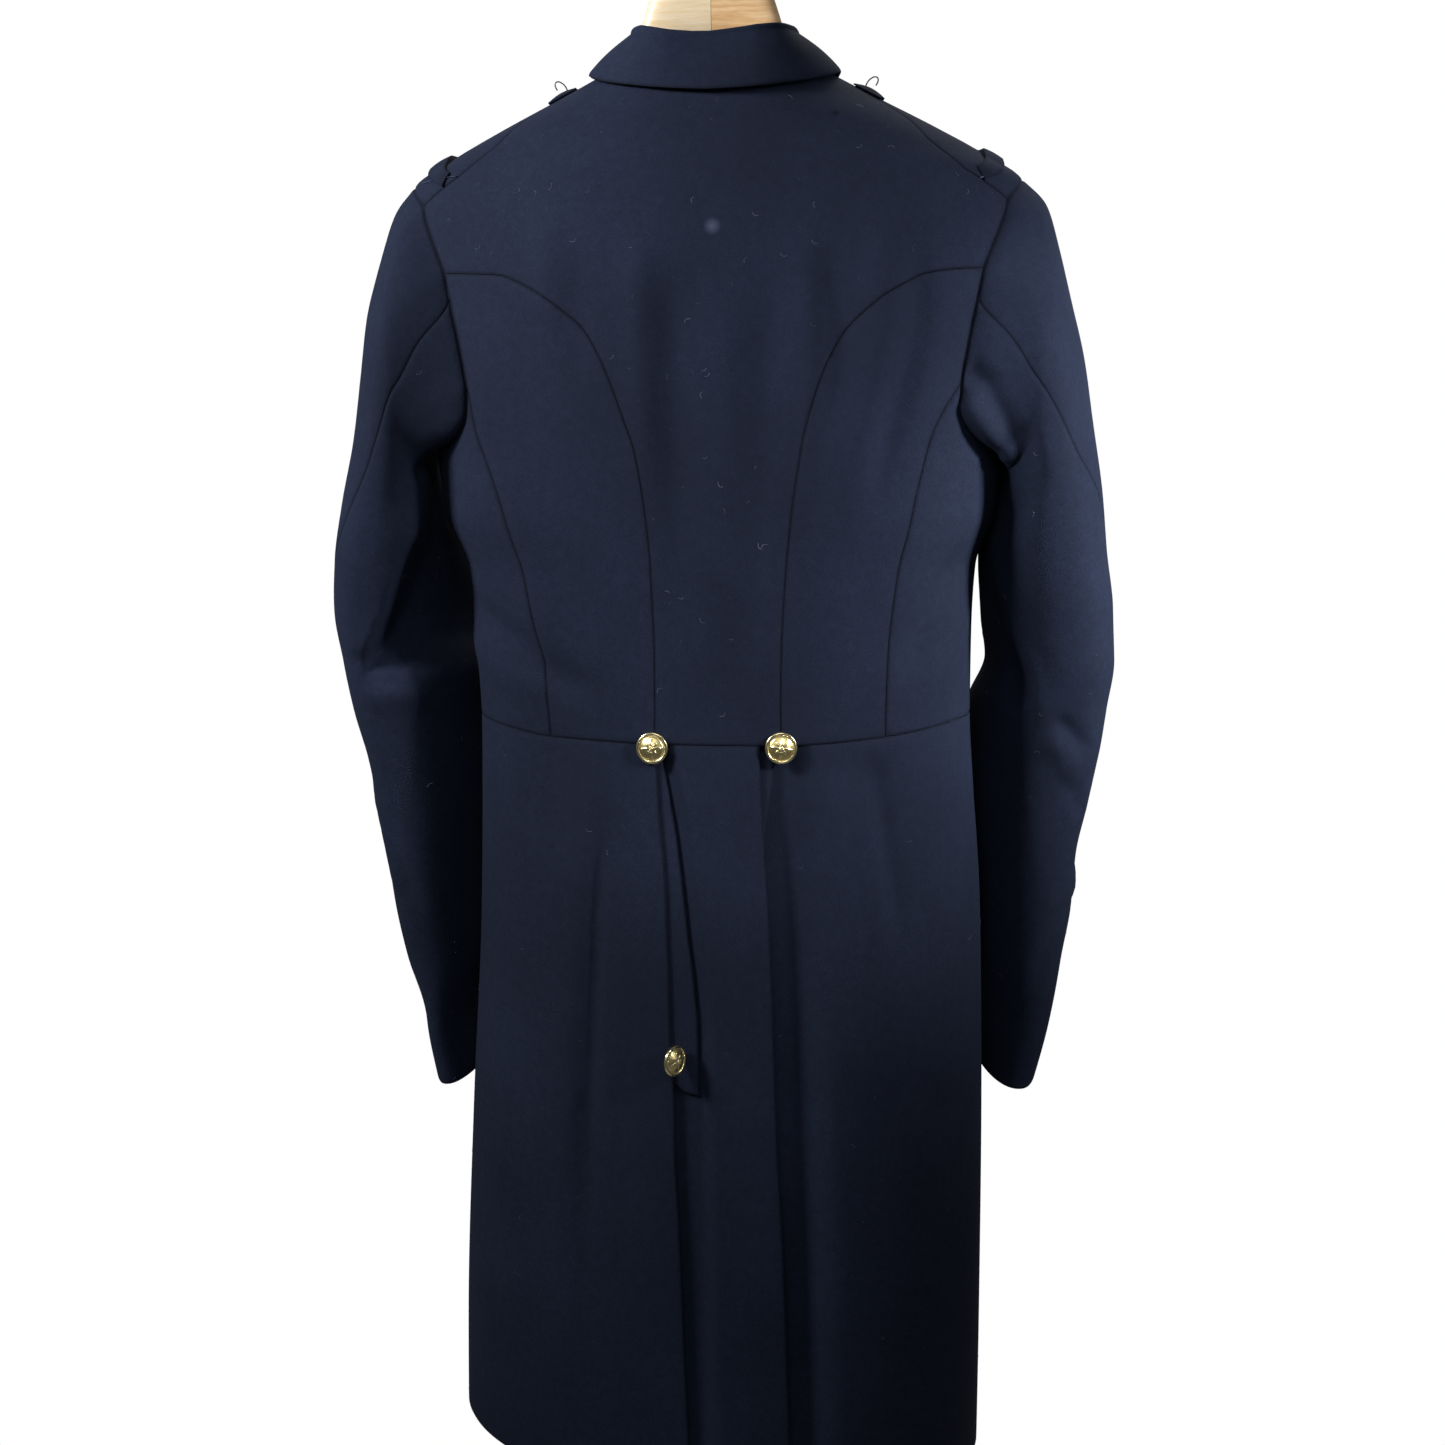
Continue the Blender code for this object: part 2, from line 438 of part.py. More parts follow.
def panel(name, outline, lift=None, step=WALL_STEP, colour="262c40"):
    """The part of the body surface inside an outline on the map, moved out by lift."""
    low, high = outline.min(0), outline.max(0)
    columns = np.arange(math.ceil(low[0] / step[0]), high[0] / step[0]) * step[0]
    rows = np.arange(math.ceil(low[1] / step[1]), high[1] / step[1]) * step[1]
    grid = np.array([(x, y) for y in rows for x in columns]).reshape(-1, 2)
    if len(grid):
        grid = grid[inside(grid, outline)]
    if len(grid):
        grid = grid[edge_distance(grid, outline) > 0.42 * step[0]]
        apart = np.linalg.norm(grid[:, None] - FOLD_MARKS[None], axis=2).min(1)
        grid = grid[apart > 0.55 * step[0]]
    marks = FOLD_MARKS[inside(FOLD_MARKS, outline)]
    marks = marks[edge_distance(marks, outline) > 0.006] if len(marks) else marks
    flat = np.concatenate([outline, grid, marks])
    area = np.cross(outline, np.roll(outline, -1, axis=0)).sum()
    rim = list(range(len(outline)))
    rim = rim if area > 0 else rim[::-1]
    found = delaunay_2d_cdt([Vector(p) for p in flat], [], [rim], 1, 1e-7)
    flat = np.array([tuple(p) for p in found[0]])
    faces = np.array([f for f in found[2] if len(f) == 3])
    angle, level = from_map(flat)
    points, normals = body(angle, level), body_normal(angle, level)
    raised = -sunk(points) if lift is None else lift(angle, level) - sunk(points)
    points = points + normals * raised[:, None]
    corner = points[faces]
    facing = np.cross(corner[:, 1] - corner[:, 0], corner[:, 2] - corner[:, 0])
    if (facing * normals[faces[:, 0]]).sum() < 0:
        faces = faces[:, ::-1]
    return cloth(name, inset(points, normals, faces), normals, faces, colour)


def inset(points, normals, faces):
    """Moves the open edge of a mesh inwards by the seam gap."""
    sides = np.concatenate([faces[:, [0, 1]], faces[:, [1, 2]], faces[:, [2, 0]]])
    pairs = set(map(tuple, sides))
    after = {a: b for a, b in pairs if (b, a) not in pairs}
    before = {b: a for a, b in after.items()}
    moved = points.copy()
    for here, ahead in after.items():
        behind = before[here]
        turns = [np.cross(normals[here], unit(points[ahead] - points[here])),
                 np.cross(normals[here], unit(points[here] - points[behind]))]
        inward = unit(turns[0] + turns[1])
        reach = max(0.45, float(np.dot(inward, turns[0])))
        moved[here] += inward * SEAM_GAP / reach
    return moved


def front_lift(side):
    """The left front lies over the right one where the two overlap."""
    def lift(angle, level):
        share = ease((np.abs(angle) - math.radians(112)) / math.radians(28))
        return (0.5 * LAYER if side < 0 else -0.5 * LAYER) * share
    return lift


def lapel_lift(side):
    base = front_lift(side)

    def lift(angle, level):
        return base(angle, level) + 0.95 * LAYER
    return lift


# Back, in one piece from waist to neck, between the two curved side-body seams.
side_seams = {name: seam(on_map(SIDE_BODY_SEAM[name], side))
              for name, side in (("left", -1), ("right", 1))}
arm_seams = {name: seam(on_map(UNDERARM_SEAM[name], side))
             for name, side in (("left", -1), ("right", 1))}
shoulders = {name: seam(on_map(SHOULDER_SEAM, side)) for name, side in (("left", -1), ("right", 1))}
panel("back", loop(
    line_between(WAIST_LINE, -23.3, 25.7), side_seams["right"][::-1],
    seam(on_map(ARMHOLE_BACK))[::-1], shoulders["right"], neck_line(82, -82),
    shoulders["left"][::-1], seam(on_map(ARMHOLE_BACK, -1)), side_seams["left"]))

# Side bodies and foreparts. The foreparts run over the shoulder to the seam behind the ridge.
for name, side in (("left", -1), ("right", 1)):
    low_side = SIDE_BODY_SEAM[name][-1][0] * side
    low_arm = UNDERARM_SEAM[name][-1][0] * side
    panel("side_body_" + name, loop(
        line_between(WAIST_LINE, low_side, low_arm), arm_seams[name][::-1],
        seam(on_map(ARMHOLE_SIDE, side))[::-1], side_seams[name]))
    panel("forepart_" + name, loop(
        line_between(WAIST_LINE, low_arm, 219.0 * side), seam(on_map(FRONT_EDGE, side))[::-1],
        seam(on_map(ROLL_LINE, side)), neck_line(130.0 * side, 82.0 * side),
        shoulders[name][::-1], seam(on_map(ARMHOLE_FRONT, side))[::-1], arm_seams[name]),
        front_lift(side))
    panel("lapel_" + name, loop(
        seam(on_map(LAPEL_EDGE[name], side)), seam(on_map(LAPEL_TOP, side)),
        seam(on_map(LAPEL_ROLL[name], side))[::-1]), lapel_lift(side))


def pleat_depth(level):
    """How far the right pleat sinks, from the waist seam down."""
    height = np.interp(level, range(TOP + 1), RINGS[:, 0])
    return 2.1 * LAYER + 0.0100 * ease((-0.010 - height) / 0.110)


def right_skirt_lift(angle, level):
    share = 1 - ease((angle - math.radians(24.5)) / math.radians(9.0))
    return front_lift(1)(angle, level) - pleat_depth(level) * share


def centre_lift(angle, level):
    """The centre panel sinks below the left skirt and its flap."""
    return -1.95 * LAYER * (1 - ease((angle - math.radians(-5.0)) / math.radians(10.0)))


def flap_lift(angle, level):
    return np.full(np.shape(angle), -0.97 * LAYER)


# Skirts below the waist seam: two long fronts and sides, the centre back panel, two pleat flaps.
panel("skirt_left", loop(
    line_between(WAIST_LINE, -219.0, -23.3), seam(on_map(SKIRT_LEFT_BACK), 0.036),
    line_between(HEM_LINE, -9.6, -211.4), seam(on_map(SKIRT_FRONT_EDGE, -1), 0.036)[::-1]),
    front_lift(-1), (0.024, 0.050))
panel("skirt_right", loop(
    line_between(WAIST_LINE, 3.0, 219.0), seam(on_map(SKIRT_FRONT_EDGE), 0.036),
    line_between(HEM_LINE, 211.4, 5.0), seam(on_map(SKIRT_RIGHT_BACK), 0.036)[::-1]),
    right_skirt_lift, (0.020, 0.050))
panel("skirt_centre", loop(
    line_between(WAIST_LINE, -36.0, 18.0), seam(on_map(PANEL_RIGHT_EDGE), 0.036),
    line_between(HEM_LINE, 22.3, -24.0), seam(on_map(PANEL_LEFT_EDGE), 0.036)[::-1]),
    centre_lift, (0.016, 0.050))
panel("side_flap_left", loop(
    seam(on_map(FLAP_LEFT)), seam(on_map(FLAP_LEFT_FOOT), 0.010), seam(on_map(FLAP_LEFT_BACK)),
    seam(on_map([FLAP_LEFT_BACK[-1], FLAP_LEFT[0]]), 0.010)), flap_lift)
panel("side_flap_right", loop(
    seam(on_map(FLAP_RIGHT)), seam(on_map([FLAP_RIGHT[-1], FLAP_RIGHT_BACK[0]]), 0.010),
    seam(on_map(FLAP_RIGHT_BACK)), seam(on_map([FLAP_RIGHT_BACK[-1], FLAP_RIGHT[0]]), 0.012)),
    flap_lift)


def grid_faces(rows, columns, wrap=False):
    wide = columns if wrap else columns - 1
    return [(r * columns + c, r * columns + (c + 1) % columns,
             (r + 1) * columns + (c + 1) % columns, (r + 1) * columns + c)
            for r in range(rows - 1) for c in range(wide)]


def oval(outer, inner, middle_y, depth, power, turn):
    """Points round a sleeve or hanger section; turn runs from the outer point to the back."""
    middle = (outer + inner) / 2
    reach = (outer - inner) / 2
    along, across = np.cos(turn), np.sin(turn)
    radius = (np.abs(along) ** power + np.abs(across) ** power) ** (-1 / power)
    points = np.empty(np.broadcast(middle[..., 0], turn).shape + (3,))
    points[..., 0] = middle[..., 0] + reach[..., 0] * along * radius
    points[..., 1] = middle_y - depth * across * radius
    points[..., 2] = middle[..., 1] + reach[..., 1] * along * radius
    return points


def armhole_ring():
    """The armhole seam as turn angles and points, a little out from the cloth of the body."""
    rim = loop(seam(on_map(ARMHOLE_FRONT), 0.004), seam(on_map(ARMHOLE_BACK), 0.004),
               seam(on_map(ARMHOLE_SIDE), 0.004))
    angle, level = from_map(rim)
    points, normals = body(angle, level), body_normal(angle, level)
    along = unit(np.roll(points, -1, axis=0) - np.roll(points, 1, axis=0))
    into = np.cross(normals, along)
    middle = points.mean(0)
    into = into * np.sign((into * (middle - points)).sum(1))[:, None]
    points = points + into * 1.2 * SEAM_GAP + normals * 0.0008
    first = SLEEVE["right"][0]
    reach = (first[0:2] - first[2:4]) / 2
    along_share = (points[:, [0, 2]] - (first[0:2] + first[2:4]) / 2) @ reach / (reach @ reach)
    turn = np.arctan2(-(points[:, 1] - first[4]) / first[5], along_share)
    order = np.argsort(turn)
    return turn[order], points[order]


RIM_TURN, RIM_POINTS = armhole_ring()


def sleeve_surface(name, station, turn):
    """Sleeve points, made on the right: the armhole seam blends into the ovals of the table."""
    row = smooth_rows(SLEEVE[name], station)
    points = oval(row[..., 0:2], row[..., 2:4], row[..., 4], row[..., 5], row[..., 6], turn)
    behind = (row[..., 4] - points[..., 1]) / row[..., 5]
    points[..., 0] += row[..., 7] * behind
    points[..., 2] -= CUFF_DROP * ease((station - 15) / 2) * behind
    wrapped = (turn + math.pi) % (2 * math.pi) - math.pi
    rim = np.stack([np.interp(wrapped, RIM_TURN, RIM_POINTS[:, k], period=2 * math.pi)
                    for k in range(3)], -1)
    share = ease(station / 2.2)[..., None]
    wide = row[..., 0:2].shape
    start = SLEEVE[name][0]
    first = oval(np.broadcast_to(start[0:2], wide), np.broadcast_to(start[2:4], wide),
                 start[4], start[5], start[6], turn)
    return points + (rim - first) * (1 - share)


def sleeve_normal(name, station, turn):
    step = 0.01
    high = np.clip(station + step, 0, 17)
    low = np.clip(station - step, 0, 17)
    down = sleeve_surface(name, high, turn) - sleeve_surface(name, low, turn)
    round_it = sleeve_surface(name, station, turn + step) - sleeve_surface(name, station, turn - step)
    return unit(np.cross(round_it, down))


def elbow_hollow(station, turn):
    """How far the cloth behind the left elbow drops forwards at each point."""
    past = np.degrees(np.where(turn < -math.pi / 2, turn + 2 * math.pi, turn))
    depth = np.interp(station, ELBOW_HOLLOW[:, 0], ELBOW_HOLLOW[:, 1], 0, 0)
    edge = np.interp(station, ELBOW_HOLLOW[:, 0], ELBOW_HOLLOW[:, 2])
    return 0.001 * depth * ease((past - edge) / 16) * ease((214 - past) / 24)


def sleeve_piece(piece, name, side, upper, columns, rows=19):
    station = np.linspace(0, 17, rows)[:, None]
    row = smooth_rows(SLEEVE[name], station[:, 0])
    back, front = np.radians(row[:, 8:9]), np.radians(row[:, 9:10])
    front = front if upper else front + 2 * math.pi
    turn = back + (front - back) * np.linspace(0, 1, columns)[None, :]
    station = np.broadcast_to(station, turn.shape)
    points, normals = sleeve_surface(name, station, turn), sleeve_normal(name, station, turn)
    if side < 0:
        points[..., 1] += elbow_hollow(station, turn)
    points, normals = points.reshape(-1, 3), normals.reshape(-1, 3)
    faces = grid_faces(rows, columns)
    faces = np.array([t for f in faces for t in triangles_of(points, f)])
    if upper:
        faces = faces[:, ::-1]
    points = inset(points, normals, faces)
    if side < 0:
        mirror = np.array((-1, 1, 1))
        points, normals, faces = points * mirror, normals * mirror, faces[:, ::-1]
    cloth(piece, points, normals, faces, "282e42")


for name, side in (("left", -1), ("right", 1)):
    sleeve_piece("upper_sleeve_" + name, name, side, True, 9)
    sleeve_piece("under_sleeve_" + name, name, side, False, 12)


def collar_points(degrees):
    """The collar's section at an angle: up the stand, over the fold, down the leaf."""
    row = smooth_rows(COLLAR, np.interp(abs(degrees), COLLAR[:, 0], range(len(COLLAR))))
    angle = math.radians(abs(degrees))
    base = body(angle, TOP) + np.array((0, 0, 0.0007))
    fold = row[1:4]
    foot = body(angle, row[4]) + body_normal(angle, row[4]) * row[5]
    out = unit((foot - fold) * np.array((1, 1, 0)))
    inner = fold - out * 0.0025
    outer = fold + out * 0.0027
    top = fold + np.array((0, 0, 0.0012))
    low = np.array((0, 0, -0.0028))
    stand = [base + (inner + low - base) * s for s in (0, 0.5, 1)]
    bulge = unit(body_normal(angle, row[4]) + np.array((0, 0, 0.4))) * 0.0022
    leaf = [outer + low + (foot - outer - low) * s + bulge * 4 * s * (1 - s)
            for s in (0, 0.33, 0.67, 1)]
    points = np.array(stand + [inner * 0.8 + top * 0.2, top, outer * 0.8 + top * 0.2] + leaf)
    points[:, 0] *= math.copysign(1, degrees)
    return points


angles = np.linspace(-139, 139, 23)
rows = np.array([collar_points(a) for a in angles])
slopes = np.cross(np.gradient(rows, axis=1), np.gradient(rows, axis=0))
cloth("collar", rows.reshape(-1, 3), unit(slopes).reshape(-1, 3),
      grid_faces(len(angles), rows.shape[1]), "2a2e42")


def closed_loft(name, rings, colour, roughness):
    """A solid through closed rings, with a flat fan at each end."""
    rings = np.asarray(rings)
    count, around = rings.shape[:2]
    points = [Vector(p) - HOOK_TOP for p in rings.reshape(-1, 3)]
    points += [Vector(rings[0].mean(0)) - HOOK_TOP, Vector(rings[-1].mean(0)) - HOOK_TOP]
    faces = grid_faces(count, around, wrap=True)
    last = (count - 1) * around
    for c in range(around):
        n = (c + 1) % around
        faces.append((n, c, count * around))
        faces.append((last + c, last + n, count * around + 1))
    mesh = bpy.data.meshes.new(name)
    mesh.from_pydata(points, [], faces)
    mesh.update()
    return finish(bpy.data.objects.new(name, mesh), colour, roughness)


# Hanger arms: two contoured wooden pieces that meet in a mitre at the neck.
for name, side in (("left", -1), ("right", 1)):
    stations = np.linspace(0, len(ARM) - 1, 19)
    turn = np.linspace(0, 2 * math.pi, 12, endpoint=False)
    rings = []
    for row in smooth_rows(ARM, stations):
        ring = oval(row[0:2], row[2:4], row[4], row[5], 2.6, turn)
        ring[:, 0] *= side
        rings.append(ring[::-1] if side < 0 else ring)
    closed_loft("hanger_arm_" + name, rings, "eecda2" if side < 0 else "dfb584", 0.45)


def wire(name, points, radius, colour, metallic, roughness, sides=2, resolution=5):
    """Round wire along a smooth path, with closed ends."""
    data = bpy.data.curves.new(name, "CURVE")
    data.dimensions = "3D"
    data.bevel_depth = radius
    data.bevel_resolution = sides
    data.use_fill_caps = True
    data.resolution_u = resolution
    path = data.splines.new("BEZIER")
    path.bezier_points.add(len(points) - 1)
    for spot, point in zip(path.bezier_points, points):
        spot.co = Vector(point) - HOOK_TOP
        spot.handle_left_type = spot.handle_right_type = "AUTO"
    return finish(bpy.data.objects.new(name, data), colour, roughness, metallic)


# Hook: a straight stem above the mitre, then an open bend whose inside top is the origin.
bend = HOOK_BEND + HOOK_WIRE / 2
centre_z = HOOK_TOP.z - HOOK_BEND
path = [(0, -0.030, 0.5390), (0, -0.030, 0.5480), (0.0012, -0.030, 0.5580),
        (0.0085, -0.030, 0.5680)]
for degrees in range(-40, 216, 17):
    turn = math.radians(degrees)
    path.append((bend * math.cos(turn), -0.030, centre_z + bend * math.sin(turn)))
wire("hook", path, HOOK_WIRE / 2, "b9bcc0", 1.0, 0.3, 2, 2)


def place(obj, point, outward, turn=0.0):
    """Sets an object made along +Z onto a point with its axis outward."""
    turned = Vector(outward).to_track_quat("Z", "Y").to_matrix().to_4x4()
    obj.matrix_world = Matrix.Translation(Vector(point) - HOOK_TOP) @ turned
    return obj


def button(name, point, outward, sides=20):
    """A domed gilt button turned round its axis, with a raised rim and a flat back."""
    r, h = BUTTON_WIDTH / 2, BUTTON_HEIGHT
    profile = [(0, 0), (0.86 * r, 0), (0.98 * r, 0.14 * h), (r, 0.30 * h), (0.96 * r, 0.46 * h),
               (0.88 * r, 0.50 * h), (0.80 * r, 0.52 * h), (0.55 * r, 0.80 * h),
               (0.28 * r, 0.95 * h), (0, h)]
    mesh = bpy.data.meshes.new(name)
    mesh.from_pydata([(x, 0, z) for x, z in profile], [(k, k + 1) for k in range(len(profile) - 1)], [])
    obj = bpy.data.objects.new(name, mesh)
    turned = obj.modifiers.new("turned", "SCREW")
    turned.steps = turned.render_steps = sides
    turned.use_merge_vertices = True
    turned.merge_threshold = 0.00005
    turned.use_normal_calculate = True
    finish(obj, "b7a468", 0.28, 1.0)
    return place(obj, point, outward)


def spot_on(x, z, back=True, lift=0.0):
    """Point and normal of the body surface at a given x and height."""
    angles = np.radians(np.linspace(0, 89, 900))
    angles = angles if back else math.pi - angles
    near = [level_of(a, z) for a in angles[::30]]
    levels = np.interp(np.arange(900), np.arange(900)[::30], near)
    found = body(angles * (1 if x > 0 else -1), levels)
    best = int(np.argmin(np.abs(found[:, 0] - x)))
    angle = angles[best] * (1 if x > 0 else -1)
    return found[best] + body_normal(angle, levels[best]) * lift, body_normal(angle, levels[best])


# Buttons: two over the waist seam, one turned edge-on at the left flap, two rows in front.
for name, x in (("left", -0.0440), ("right", 0.0477)):
    point, normal = spot_on(x, -0.0095, lift=0.0009)
    button("waist_button_" + name, point, normal)
point, normal = spot_on(-0.0300, -0.2330, lift=0.0066)
button("flap_button", point, (0.82, -0.57, 0.0))
for number, (x, z) in enumerate(FRONT_BUTTONS, 1):
    for name, side in (("left", -1), ("right", 1)):
        point, normal = spot_on(x * side, z, False, 0.5 * LAYER + 0.0006)
        button(f"front_button_{name}_{number}", point, normal, 12)


def onlay(name, spine, half_width, height, colour, cells=(6, 8), gap=0.0004):
    """A small raised piece along a spine of (degrees, ring number) on the body surface."""
    spine = smooth_rows(np.array(spine, float), np.linspace(0, len(spine) - 1, cells[0] + 1))
    angle = np.broadcast_to(np.radians(spine[:, 0:1]), (cells[0] + 1, cells[1] + 1))
    level = spine[:, 1:2] + half_width * np.linspace(-1, 1, cells[1] + 1)[None, :]
    points, normals = body(angle, level), body_normal(angle, level)
    across = np.linspace(-1, 1, cells[0] + 1)[:, None]
    along = np.linspace(-1, 1, cells[1] + 1)[None, :]
    lift = height(across, along)
    low = points + normals * gap
    high = points + normals * (gap + lift[..., None])
    rows, columns = cells[0] + 1, cells[1] + 1
    faces = grid_faces(rows, columns)
    count = rows * columns
    edge = ([(0, c) for c in range(columns - 1)] + [(r, columns - 1) for r in range(rows - 1)]
            + [(rows - 1, c) for c in range(columns - 1, 0, -1)] + [(r, 0) for r in range(rows - 1, 0, -1)])
    ring = [r * columns + c for r, c in edge]
    solid = [f[::-1] for f in faces] + [tuple(v + count for v in f) for f in faces]
    solid += [(a, b, b + count, a + count) for a, b in zip(ring, ring[1:] + ring[:1])]
    mesh = bpy.data.meshes.new(name)
    joined = np.concatenate([low.reshape(-1, 3), high.reshape(-1, 3)])
    mesh.from_pydata([Vector(p) - HOOK_TOP for p in joined], [], solid)
    mesh.update()
    size = np.array([tuple(p) for p in joined])
    volume = sum(np.dot(size[f[0]], np.cross(size[f[k]], size[f[k + 1]]))
                 for f in solid for k in range(1, len(f) - 1))
    if volume < 0:
        mesh.flip_normals()
    return finish(bpy.data.objects.new(name, mesh), colour, 0.95)


def pad_height(across, along):
    return 0.0010 + 0.0022 * (1 - across ** 2) * (1 - along ** 2)


def keeper_height(across, along):
    arch = np.clip(1 - (np.abs(across - 0.35) / 0.55) ** 2, 0, 1)
    return 0.0012 + 0.0026 * arch * (1 - 0.3 * along ** 2)


# Epaulette fittings on each ridge: a small pad with a wire eye inside, a cloth keeper outside.
for name, side in (("left", -1), ("right", 1)):
    onlay("shoulder_pad_" + name, [(82 * side, 16.05), (100 * side, 16.05)], 0.25, pad_height,
          "252a3a", gap=0.0009)
    point = body(side * math.radians(91.0), 16.08)
    normal = body_normal(side * math.radians(91.0), 16.08)
    base = point + normal * 0.0051
    eye = [base + np.array((side * dx, 0, 0)) + normal * up for dx, up in (
        (-0.0036, 0.0004), (-0.0036, 0.0036), (-0.0022, 0.0064), (0, 0.0074), (0.0022, 0.0064),
        (0.0036, 0.0036), (0.0036, 0.0004))]
    wire("wire_eye_" + name, eye, 0.0005, "3b3a38", 1.0, 0.4, 1, 3)
    onlay("shoulder_keeper_" + name, [(75.0 * side, 13.02), (81.0 * side, 13.45),
                                      (87.0 * side, 13.82), (93.0 * side, 13.88)],
          0.21, keeper_height, "303750", (10, 4), 0.0005)

bpy.context.view_layer.update()
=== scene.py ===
"""Naval officer's frock coat of navy wool, hung on a two-piece wooden coat hanger and seen from behind.

Metres, +Z up. The coat's back faces -Y and the wearer's right is +X. Tables are written from the
waist seam (z = 0); HOOK_TOP moves each finished mesh into the frame, whose origin is where a rail
touches the inside of the hook.
"""

import math

import bpy
import numpy as np
from mathutils import Matrix, Vector
from mathutils.geometry import delaunay_2d_cdt


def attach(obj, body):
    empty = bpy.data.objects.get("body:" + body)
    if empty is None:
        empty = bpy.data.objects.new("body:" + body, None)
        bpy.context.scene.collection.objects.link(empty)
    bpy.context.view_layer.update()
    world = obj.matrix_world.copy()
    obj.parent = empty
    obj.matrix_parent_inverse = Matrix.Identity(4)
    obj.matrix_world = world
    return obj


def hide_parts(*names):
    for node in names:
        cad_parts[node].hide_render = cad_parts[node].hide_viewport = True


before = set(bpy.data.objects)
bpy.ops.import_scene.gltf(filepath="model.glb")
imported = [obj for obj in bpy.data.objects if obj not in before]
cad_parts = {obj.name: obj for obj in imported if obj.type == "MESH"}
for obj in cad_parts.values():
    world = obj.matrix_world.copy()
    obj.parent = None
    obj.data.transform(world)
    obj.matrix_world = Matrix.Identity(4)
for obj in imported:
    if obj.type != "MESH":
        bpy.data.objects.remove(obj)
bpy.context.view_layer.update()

# Navy wool: a heavy melton, woven in twill and milled until the weave barely shows, then brushed
# to a short even nap. The nap scatters light at the cloth's edges as a soft grey-blue bloom. Painted
# shade: the colour is darkened towards every seam and cut edge, for the shade in their grooves.
NAVY_DEEP = "121727"
NAVY = "1a2133"
NAVY_NAP = "242c42"
TWILL_PITCH = 0.0011  # real ribs are 0.6 mm apart; drawn coarser so that they show
NAP_GRAIN = 0.0009


def linear(colour):
    """Linear RGBA of an sRGB hex colour."""
    parts = [int(colour[k:k + 2], 16) / 255 for k in (0, 2, 4)]
    return [p / 12.92 if p <= 0.04045 else ((p + 0.055) / 1.055) ** 2.4 for p in parts] + [1]


def add(tree, kind, inputs=(), **settings):
    """Adds a node with its settings; an input is a value or the output of another node."""
    made = tree.nodes.new(kind)
    for name, value in settings.items():
        setattr(made, name, value)
    for socket, value in dict(inputs).items():
        if isinstance(value, bpy.types.NodeSocket):
            tree.links.new(value, made.inputs[socket])
        else:
            made.inputs[socket].default_value = value
    return made


def new_material(name):
    """A material with only a Principled shader: (material, tree, shader)."""
    material = bpy.data.materials.new(name)
    material.use_nodes = True
    return material, material.node_tree, material.node_tree.nodes["Principled BSDF"]


def navy_wool(name, deep, middle, pale):
    material, tree, shader = new_material(name)
    place = add(tree, "ShaderNodeTexCoord").outputs["Object"]
    flat = add(tree, "ShaderNodeUVMap", uv_map="cloth").outputs["UV"]
    clouds = add(tree, "ShaderNodeTexNoise", {"Vector": place, "Scale": 6.0, "Detail": 2.0})
    mottle = add(tree, "ShaderNodeTexNoise", {"Vector": place, "Scale": 1 / 0.006, "Detail": 4.0,
                                              "Roughness": 0.7})
    nap = add(tree, "ShaderNodeTexNoise", {"Vector": place, "Scale": 1 / NAP_GRAIN, "Detail": 2.0})
    axes = add(tree, "ShaderNodeSeparateXYZ", {"Vector": flat})
    across = add(tree, "ShaderNodeMath", {0: axes.outputs["X"], 1: axes.outputs["Y"]},
                 operation="ADD")
    turns = add(tree, "ShaderNodeMath", {0: across.outputs[0], 1: 2 * math.pi / TWILL_PITCH},
                operation="MULTIPLY")
    ribs = add(tree, "ShaderNodeMath", {0: turns.outputs[0]}, operation="SINE")
    shares = add(tree, "ShaderNodeMath", {0: clouds.outputs["Fac"], 1: 0.45}, operation="MULTIPLY")
    shares = add(tree, "ShaderNodeMath", {0: mottle.outputs["Fac"], 1: 0.28,
                                          2: shares.outputs[0]}, operation="MULTIPLY_ADD")
    shares = add(tree, "ShaderNodeMath", {0: nap.outputs["Fac"], 1: 0.42, 2: shares.outputs[0]},
                 operation="MULTIPLY_ADD")
    tint = add(tree, "ShaderNodeValToRGB", {"Fac": shares.outputs[0]})
    tint.color_ramp.elements[0].position = 0.38
    tint.color_ramp.elements[0].color = linear(deep)
    tint.color_ramp.elements[1].position = 0.78
    tint.color_ramp.elements[1].color = linear(pale)
    tint.color_ramp.elements.new(0.58).color = linear(middle)
    # Painted shade: the colour is multiplied down to 0.55 within 2.2 mm of every seam and edge.
    edge = add(tree, "ShaderNodeAttribute", attribute_name="edge")
    shade = add(tree, "ShaderNodeMapRange", {"Value": edge.outputs["Fac"], "From Min": 0.0,
                                             "From Max": 0.0022, "To Min": 0.55, "To Max": 1.0})
    seam_shaded = add(tree, "ShaderNodeMix", {"Factor": 1.0}, data_type="RGBA", blend_type="MULTIPLY")
    tree.links.new(tint.outputs["Color"], seam_shaded.inputs[6])
    tree.links.new(shade.outputs["Result"], seam_shaded.inputs[7])
    tree.links.new(seam_shaded.outputs[2], shader.inputs["Base Color"])
    heights = add(tree, "ShaderNodeMath", {0: ribs.outputs[0], 1: 0.10, 2: nap.outputs["Fac"]},
                  operation="MULTIPLY_ADD")
    heights = add(tree, "ShaderNodeMath", {0: mottle.outputs["Fac"], 1: 1.6,
                                           2: heights.outputs[0]}, operation="MULTIPLY_ADD")
    bump = add(tree, "ShaderNodeBump", {"Height": heights.outputs[0], "Strength": 0.35,
                                        "Distance": 0.0005})
    tree.links.new(bump.outputs["Normal"], shader.inputs["Normal"])
    shader.inputs["Roughness"].default_value = 0.88
    shader.inputs["Specular IOR Level"].default_value = 0.14
    shader.inputs["Sheen Weight"].default_value = 0.03
    shader.inputs["Sheen Roughness"].default_value = 0.45
    shader.inputs["Sheen Tint"].default_value = linear("8f9dc4")
    return material


wool = navy_wool("melton wool, navy", NAVY_DEEP, NAVY, NAVY_NAP)

